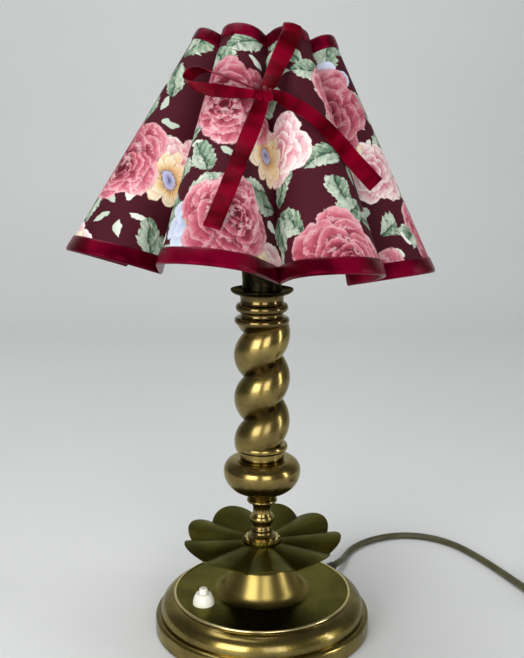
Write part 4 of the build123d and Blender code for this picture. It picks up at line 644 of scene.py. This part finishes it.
def outwards(share):
    """Outward way at each line's share."""
    at = low_line + way * share[:, None]
    round_way = np.roll(at, -1, 0) - np.roll(at, 1, 0)
    out = np.cross(round_way, way)
    return out / np.linalg.norm(out, axis=1)[:, None]


def on_shade(share, stand):
    """Points at each line's share, standing off the cloth's outside."""
    return low_line + way * share[:, None] + outwards(share) * np.asarray(stand)[..., None]


low_share, top_share = edge_share(LOW_VALLEY, LOW_RIDGE), edge_share(TOP_VALLEY, TOP_RIDGE)
mid = low_line + way * 0.5
steps = np.linalg.norm(np.roll(mid, -1, 0) - mid, axis=1)
round_length = np.concatenate(([0.0], np.cumsum(steps)))
fold_columns = range(0, COLUMNS, PER_SCALLOP)
from_fold = np.array([min(j % PER_SCALLOP, PER_SCALLOP - j % PER_SCALLOP) for j in range(COLUMNS)])

# Cloth: printed outside, lined inside, and laid out flat round a middle with its sweep in radians
ROWS, CLOTH_T = 26, 1.0
FLAT_SWEEP, FLAT_TOP = 4.65, 63.0
flat_angle = (round_length / round_length[-1] - 0.5) * FLAT_SWEEP
levels = np.linspace(0.0, 1.0, ROWS)
cloth, places = [], []
for stand, order in ((0.0, levels), (-CLOTH_T, levels[::-1])):
    for level in order:
        share = low_share + (top_share - low_share) * level
        cloth.append(on_shade(share, stand))
        distance = FLAT_TOP + (top_share - share) * slant
        distance = np.append(distance, distance[0])
        flat = np.column_stack((distance * np.sin(flat_angle), -distance * np.cos(flat_angle)))
        places.append(flat / FLAT_UNIT)
cloth = leaning(np.array(cloth).transpose(1, 0, 2))
places = np.array(places + [places[0]]).transpose(1, 0, 2)
kinds = [0] * (ROWS - 1) + [1] * (ROWS + 1)
shade_cloth = swept("shade_cloth", cloth, places, [PRINT, LINING], "shade", True, kinds, fold_columns)
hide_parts("shade_shell")

# Satin binding folded over each edge: rise from the edge and stand from the cloth
BOTTOM_PROFILE = (
    (10.2, 0.05), (10.0, 0.5), (8.6, 0.75), (6.0, 0.9), (3.4, 0.95), (1.4, 0.9), (0.2, 0.6), (-0.4, 0.0),
    (-0.5, -0.6), (-0.2, -1.3), (0.8, -1.75), (3.0, -1.9), (6.0, -1.85), (8.6, -1.6), (8.8, -1.05),
    (6.0, -0.9), (6.0, -0.1),
)
TOP_PROFILE = (
    (8.6, 0.05), (8.4, 0.5), (7.0, 0.75), (5.0, 0.9), (2.8, 0.95), (1.2, 0.9), (0.2, 0.6), (-0.4, 0.0),
    (-0.5, -0.6), (-0.2, -1.3), (0.8, -1.75), (3.0, -1.9), (5.0, -1.85), (7.2, -1.6), (7.4, -1.05),
    (5.0, -0.9), (5.0, -0.1),
)
# Share of its stand that a binding keeps in a fold, and how much it gains at each column away from it
FOLD_FULLNESS, FULLNESS_GAIN = 0.45, 0.25
# Puckers outside, from a stand up: depth, rate and start of their waves
PUCKER_FROM = 0.3
PUCKERS = ((0.12, 2.1, 0.0), (0.08, 0.83, 1.0))
fullness = np.clip(FOLD_FULLNESS + from_fold * FULLNESS_GAIN, FOLD_FULLNESS, 1.0)
pucker = sum(depth * np.sin(np.arange(COLUMNS) * rate + start) for depth, rate, start in PUCKERS)
for name, node, edge, sign, profile in (
    ("bottom_binding_satin", "bottom_binding", low_share, 1, BOTTOM_PROFILE),
    ("top_binding_satin", "top_binding", top_share, -1, TOP_PROFILE),
):
    rings, flats = [], []
    across = 0.0
    last = profile[-1]
    for rise, stand in profile:
        stands = stand * (fullness if stand > 0 else 1.0) + (pucker if stand > PUCKER_FROM else 0.0)
        rings.append(on_shade(edge + sign * rise / slant, stands))
        across += np.hypot(rise - last[0], stand - last[1])
        last = (rise, stand)
        flats.append(np.column_stack((round_length, np.full(COLUMNS + 1, across))) / FLAT_UNIT)
    rings = np.array(rings).transpose(1, 0, 2)
    if sign < 0:
        rings = rings[:, ::-1]
        flats = flats[::-1]
    flats = np.array(flats + [flats[0]]).transpose(1, 0, 2)
    piece = swept(name, leaning(rings), flats, [BINDING], "shade", True, None, fold_columns)
    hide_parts(node)

# Ribbon routes: angle from the front, height from the pivot, stand from the ridges, turn and width
STRAP = (
    (2.2, -0.6, 3.4, 0, 7.0), (4.4, 6.0, 3.0, 0, 9.0), (8.8, 19.5, 1.4, 0, 11.0),
    (14.6, 32.0, 1.4, 0, 12.0), (18.2, 38.6, 1.6, 0, 12.5), (19.7, 43.2, 1.6, 0, 12.0),
    (20.0, 45.3, 1.2, 0, 11.5), (20.1, 46.0, -0.2, 0, 11.2), (20.1, 45.7, -1.9, 0, 11.0),
    (20.1, 44.2, -2.9, 0, 10.5), (20.1, 41.0, -3.2, 0, 10.5),
)
LOOP = (
    (0.4, -1.4, 3.4, 60, 4.0), (-18.0, 7.0, 4.4, 50, 7.6), (-31.0, 10.5, 4.8, 75, 8.0),
    (-37.5, 8.5, 5.0, 90, 8.4), (-38.0, 3.5, 5.0, 90, 8.4), (-31.0, -0.5, 5.0, 80, 8.4),
    (-18.0, -2.6, 4.6, 55, 8.0), (0.4, -3.6, 3.6, 60, 4.5),
)
SIDE_TAIL = (
    (2.4, -2.4, 3.4, 0, 6.0), (7.6, -3.2, 3.4, 0, 8.0), (14.0, -5.6, 1.8, 0, 10.5),
    (24.0, -12.0, 1.4, 0, 10.5), (32.0, -23.0, 2.0, 15, 10.5), (39.5, -39.0, 3.2, 35, 10.5),
    (46.0, -52.0, 4.4, 50, 10.5),
)
LONG_TAIL = (
    (1.4, -4.0, 3.4, 0, 7.0), (0.6, -9.6, 3.3, 0, 9.0), (-2.2, -24.0, 1.6, 0, 10.5),
    (-5.0, -40.0, 1.2, 0, 10.5), (-7.6, -60.0, 1.2, 0, 10.5), (-10.1, -81.0, 1.3, 0, 10.5),
)
ROUTE_STEPS = 9
CONE_HALF = atan2(LOW_RIDGE[0] - TOP_RIDGE[0], TOP_RIDGE[1] - LOW_RIDGE[1])
# Places across a ribbon as shares of its width, and its thickness there and at its woven edges
ACROSS = np.array((-0.5, -0.46, -0.25, 0.0, 0.25, 0.46, 0.5))
RIBBON_T, WOVEN_T, WOVEN_FROM = 0.45, 0.558, 0.4
HALVES = np.where(np.abs(ACROSS) > WOVEN_FROM, WOVEN_T, RIBBON_T) / 2
CUP_DEPTH, WAVE_DEPTH, WAVE_RATE = 0.25, 0.12, 0.35
# Heights over which a ribbon bends more to hug the top binding, and how much
HUG_HEIGHTS, HUG_DEPTH = (34.0, 41.0), 0.8
# A cross product under this length means that a ribbon turns over the edge
TURNING_OVER = 0.7


def smooth(route):
    """Route values at even steps on a smooth line through the route's rows."""
    rows = np.array(route, float)
    rows = np.vstack((2 * rows[0] - rows[1], rows, 2 * rows[-1] - rows[-2]))
    found = []
    for a, b, c, d in zip(rows, rows[1:], rows[2:], rows[3:]):
        first, second, third = c - a, 2 * a - 5 * b + 4 * c - d, 3 * b - a - 3 * c + d
        for t in np.arange(ROUTE_STEPS) / ROUTE_STEPS:
            found.append(0.5 * (2 * b + first * t + second * t**2 + third * t**3))
    return np.array(found + [rows[-2]])


def cone_out(angle):
    """Outward way of the cone through the shade's ridges."""
    flat = front(angle, cos(CONE_HALF))
    return np.array((flat[0], flat[1], sin(CONE_HALF)))


def cone_point(angle, height, stand):
    """Point that stands off the cone through the shade's ridges."""
    flat = front(angle, line(height, TOP_RIDGE, LOW_RIDGE))
    return np.array((flat[0] + drift(height), flat[1], height)) + cone_out(angle) * stand


def across_way(ahead, out, last):
    """Sideways way of a ribbon flat on the shade, kept from flipping where it turns over the edge."""
    side = np.cross(ahead, out)
    if last is not None and np.linalg.norm(side) < TURNING_OVER:
        side = last - ahead * (last @ ahead)
    elif last is not None and side @ last < 0:
        side = -side
    return unit(side)


def ribbon(name, node, route):
    """Satin band along a route, a little cupped across and thicker along its woven edges."""
    rows = smooth(route)
    points = np.array([cone_point(*row[:3]) for row in rows])
    ways = np.gradient(points, axis=0)
    ways /= np.linalg.norm(ways, axis=1)[:, None]
    lengths = np.concatenate(([0.0], np.cumsum(np.linalg.norm(np.diff(points, axis=0), axis=1))))
    rings, flats = [], []
    flat_side = None
    for (angle, height, _, turn, width), point, ahead, length in zip(rows, points, ways, lengths):
        flat_side = across_way(ahead, cone_out(angle), flat_side)
        side = np.array(Matrix.Rotation(radians(turn), 3, Vector(ahead)) @ Vector(flat_side))
        face = np.cross(side, ahead)
        hug = np.interp(height, HUG_HEIGHTS, (0.0, HUG_DEPTH))
        cup = CUP_DEPTH - (CUP_DEPTH + hug) * (2 * ACROSS) ** 2 + WAVE_DEPTH * sin(length * WAVE_RATE)
        upper = [point + side * a * width + face * (c + h) for a, c, h in zip(ACROSS, cup, HALVES)]
        lower = [point + side * a * width + face * (c - h) for a, c, h in zip(ACROSS, cup, HALVES)]
        rings.append(upper + lower[::-1])
        spread = [a * width / FLAT_UNIT for a in ACROSS]
        flats.append([(length / FLAT_UNIT, v) for v in spread + spread[::-1] + spread[:1]])
    piece = swept(name, leaning(np.array(rings)), np.array(flats), [RIBBON], "shade")
    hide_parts(node)
    return piece


ribbons = [
    ribbon("strap_satin", "ribbon_strap", STRAP),
    ribbon("loop_satin", "ribbon_loop", LOOP),
    ribbon("side_tail_satin", "ribbon_side_tail", SIDE_TAIL),
    ribbon("long_tail_satin", "ribbon_long_tail", LONG_TAIL),
]

# Knot: one turn of ribbon pulled tight, pinched at its two ends
KNOT_AT = (1.4, -2.5, 3.6)
KNOT_HALF_L, KNOT_HALF_T, KNOT_HALF_H = 5.6, 2.7, 5.3
KNOT_RINGS, KNOT_POINTS = 41, 28
KNOT_PINCH, PINCH_POWER, KNOT_END = 0.3, 4, 0.8
CREASE_DEPTH, CREASES = 0.08, 3
KNOT_TILT, KNOT_SLOPE = 1.2, 0.7
KNOT_FLAT_ROUND, KNOT_FLAT_HALF = 50.0, 5.8
knot_at, knot_out = cone_point(*KNOT_AT), cone_out(KNOT_AT[0])
knot_side = unit(np.cross(knot_out, (0.0, 0.0, 1.0)))
knot_up = np.cross(knot_side, knot_out)
turns = np.arange(KNOT_POINTS + 1) / KNOT_POINTS
rings, flats = [], []
for share in np.linspace(-1.0, 1.0, KNOT_RINGS):
    girth = (1 - KNOT_PINCH * abs(share) ** PINCH_POWER) * (1 - CREASE_DEPTH * cos(CREASES * pi * share))
    girth *= 1 if abs(share) < 1 else KNOT_END
    ring = []
    for angle in 2 * pi * turns[:-1]:
        side = KNOT_HALF_L * share + KNOT_TILT * sin(angle) * cos(angle)
        out = KNOT_HALF_T * girth * sin(angle)
        up = KNOT_HALF_H * girth * cos(angle) + KNOT_SLOPE * share
        ring.append(knot_at + knot_side * side + knot_out * out + knot_up * up)
    rings.append(ring)
    flat = np.column_stack((KNOT_FLAT_ROUND * girth * turns, np.full(len(turns), KNOT_FLAT_HALF * share)))
    flats.append(flat / FLAT_UNIT)
knot = swept("knot_satin", leaning(np.array(rings)), np.array(flats), [RIBBON], "shade")
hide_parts("ribbon_knot")

# Mains lead: straight out of its bush, over the floor, into the coil and out to the plug
CORD_R = 2.75
CORD_ROUTE = [
    (57.92, 79.42, 7.6), (62.63, 85.89, 7.6), (68.0, 98.0, 5.0), (71.5, 111.0, 2.75), (80.0, 128.0, 2.75),
    (98.0, 145.0, 2.75), (124.0, 155.0, 2.75), (150.0, 150.0, 2.75), (170.0, 133.0, 2.75),
    (184.0, 108.0, 2.75), (196.0, 80.0, 3.0),
]
PLUG_TAIL = [(296.8, 68.0, 8.6), (292.0, 85.0, 7.0), (290.8, 104.0, 7.0)]
COIL_AT, COIL_Z, COIL_R = (262.0, 32.0), 3.65, 44.5
COIL_STEP, COIL_RISE, COIL_RUN_IN = 7.05, 6.1, 30.0
COIL_START, COIL_TURNS, CLIMB_TURNS = 200.0, 3, 0.5
ALL_TURNS = 2 * COIL_TURNS + CLIMB_TURNS
COIL_STEPS = 24
SHORT_TURN = 0.0001
LEAD_SMOOTHNESS = 6


def coil_point(turns):
    """Point of the coil: in on the lower layer, up, and out on the upper layer."""
    if turns < COIL_TURNS:
        inward, rise = turns, 0.0
    elif turns < COIL_TURNS + CLIMB_TURNS:
        inward, rise = COIL_TURNS, COIL_RISE * (1 - cos(pi * (turns - COIL_TURNS) / CLIMB_TURNS)) / 2
    else:
        inward, rise = ALL_TURNS - turns, COIL_RISE
    radius = COIL_R - COIL_STEP * inward
    angle = radians(COIL_START + 360 * turns)
    return np.array((COIL_AT[0] + radius * cos(angle), COIL_AT[1] + radius * sin(angle), COIL_Z + rise))


entry_way = unit(coil_point(SHORT_TURN) - coil_point(0))
exit_way = unit(coil_point(ALL_TURNS) - coil_point(ALL_TURNS - SHORT_TURN))
entry = coil_point(0) - entry_way * 2 * CORD_R
route = CORD_ROUTE + [entry - entry_way * COIL_RUN_IN, entry]
route += [coil_point(k / COIL_STEPS) for k in range(round(COIL_STEPS * ALL_TURNS) + 1)]
route += [coil_point(ALL_TURNS) + exit_way * 2 * CORD_R] + PLUG_TAIL
curve = bpy.data.curves.new("mains_lead", "CURVE")
curve.dimensions = "3D"
spline = curve.splines.new("NURBS")
spline.points.add(len(route) - 1)
for point, place in zip(spline.points, route):
    point.co = (*(np.array(place) * MM), 1.0)
spline.order_u = 3
spline.use_endpoint_u = True
spline.resolution_u = LEAD_SMOOTHNESS
curve.bevel_depth = CORD_R * MM
curve.bevel_resolution = LEAD_SMOOTHNESS
curve.use_fill_caps = True
curve.materials.append(CORD)
lead = bpy.data.objects.new("mains_lead", curve)
scene.collection.objects.link(lead)
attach(lead, "lamp")
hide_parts("cord_run", "cord_coil", "plug_tail")

# Stage, in metres: a floor that turns up into a backdrop
FLOOR_FRONT, BEND_FROM, BEND_R, WALL_TOP, HALF_W = -2.5, 1.1, 0.6, 2.6, 3.0
BEND_STEPS = 12
floor = Graph("pale_floor")
floor_tone = floor.mix(floor.noise(floor.place(), scale=3.0), rgb(222, 224, 224), rgb(230, 231, 230))
floor.set(Base_Color=floor_tone, Roughness=0.55)
bend = np.linspace(0, pi / 2, BEND_STEPS + 1)
outline = [(FLOOR_FRONT, 0.0)]
outline += [(BEND_FROM + BEND_R * sin(a), BEND_R - BEND_R * cos(a)) for a in bend]
outline += [(BEND_FROM + BEND_R, WALL_TOP)]
strips = len(outline) - 1
mesh = bpy.data.meshes.new("backdrop")
verts = [(x, y, z) for y, z in outline for x in (-HALF_W, HALF_W)]
mesh.from_pydata(verts, [], [(2 * i, 2 * i + 1, 2 * i + 3, 2 * i + 2) for i in range(strips)])
mesh.polygons.foreach_set("use_smooth", [True] * strips)
mesh.materials.append(floor.material)
backdrop = bpy.data.objects.new("backdrop", mesh)
scene.collection.objects.link(backdrop)

# Light: a broad window of two panes in front, a narrow one at the right, one overhead, and a dim room
ROOM_COLOUR, ROOM_STRENGTH = (0.78, 0.8, 0.8, 1.0), 0.2
world = bpy.data.worlds.new("room")
scene.world = world
world.use_nodes = True
room = world.node_tree.nodes["Background"]
room.inputs["Color"].default_value = ROOM_COLOUR
room.inputs["Strength"].default_value = ROOM_STRENGTH


def area_light(name, at, to, size, power):
    """Light from a rectangle that faces a point."""
    light = bpy.data.lights.new(name, "AREA")
    light.shape = "RECTANGLE"
    light.size, light.size_y = size
    light.energy = power
    piece = bpy.data.objects.new(name, light)
    piece.location = at
    piece.rotation_euler = (Vector(to) - Vector(at)).to_track_quat("-Z", "Y").to_euler()
    scene.collection.objects.link(piece)


area_light("window_left_pane", at=(-0.75, -1.24, 0.5), to=(0, 0, 0.25), size=(0.85, 0.8), power=16.0)
area_light("window_right_pane", at=(0.35, -1.41, 0.5), to=(0, 0, 0.25), size=(0.6, 0.8), power=7.5)
area_light("side_window", at=(1.3, -0.32, 0.45), to=(0, 0, 0.2), size=(0.14, 0.8), power=4.0)
area_light("overhead", at=(-0.4, 0.2, 2.2), to=(0, 0, 0.2), size=(1.8, 1.4), power=22.0)

# Camera as solved from the photo: focal length and picture height in pixels, and pitch in degrees
FOCAL_PX, PICTURE_H_PX, SENSOR_MM = 950, 658, 36
CAMERA_AT, PITCH_DOWN = (0, -0.65, 0.348), 11
optics = bpy.data.cameras.new("camera")
optics.lens = FOCAL_PX / PICTURE_H_PX * SENSOR_MM
optics.clip_start = 0.01
camera = bpy.data.objects.new("camera", optics)
camera.location = CAMERA_AT
camera.rotation_euler = (radians(90 - PITCH_DOWN), 0, 0)
scene.collection.objects.link(camera)
scene.camera = camera
scene.view_settings.view_transform = "Standard"
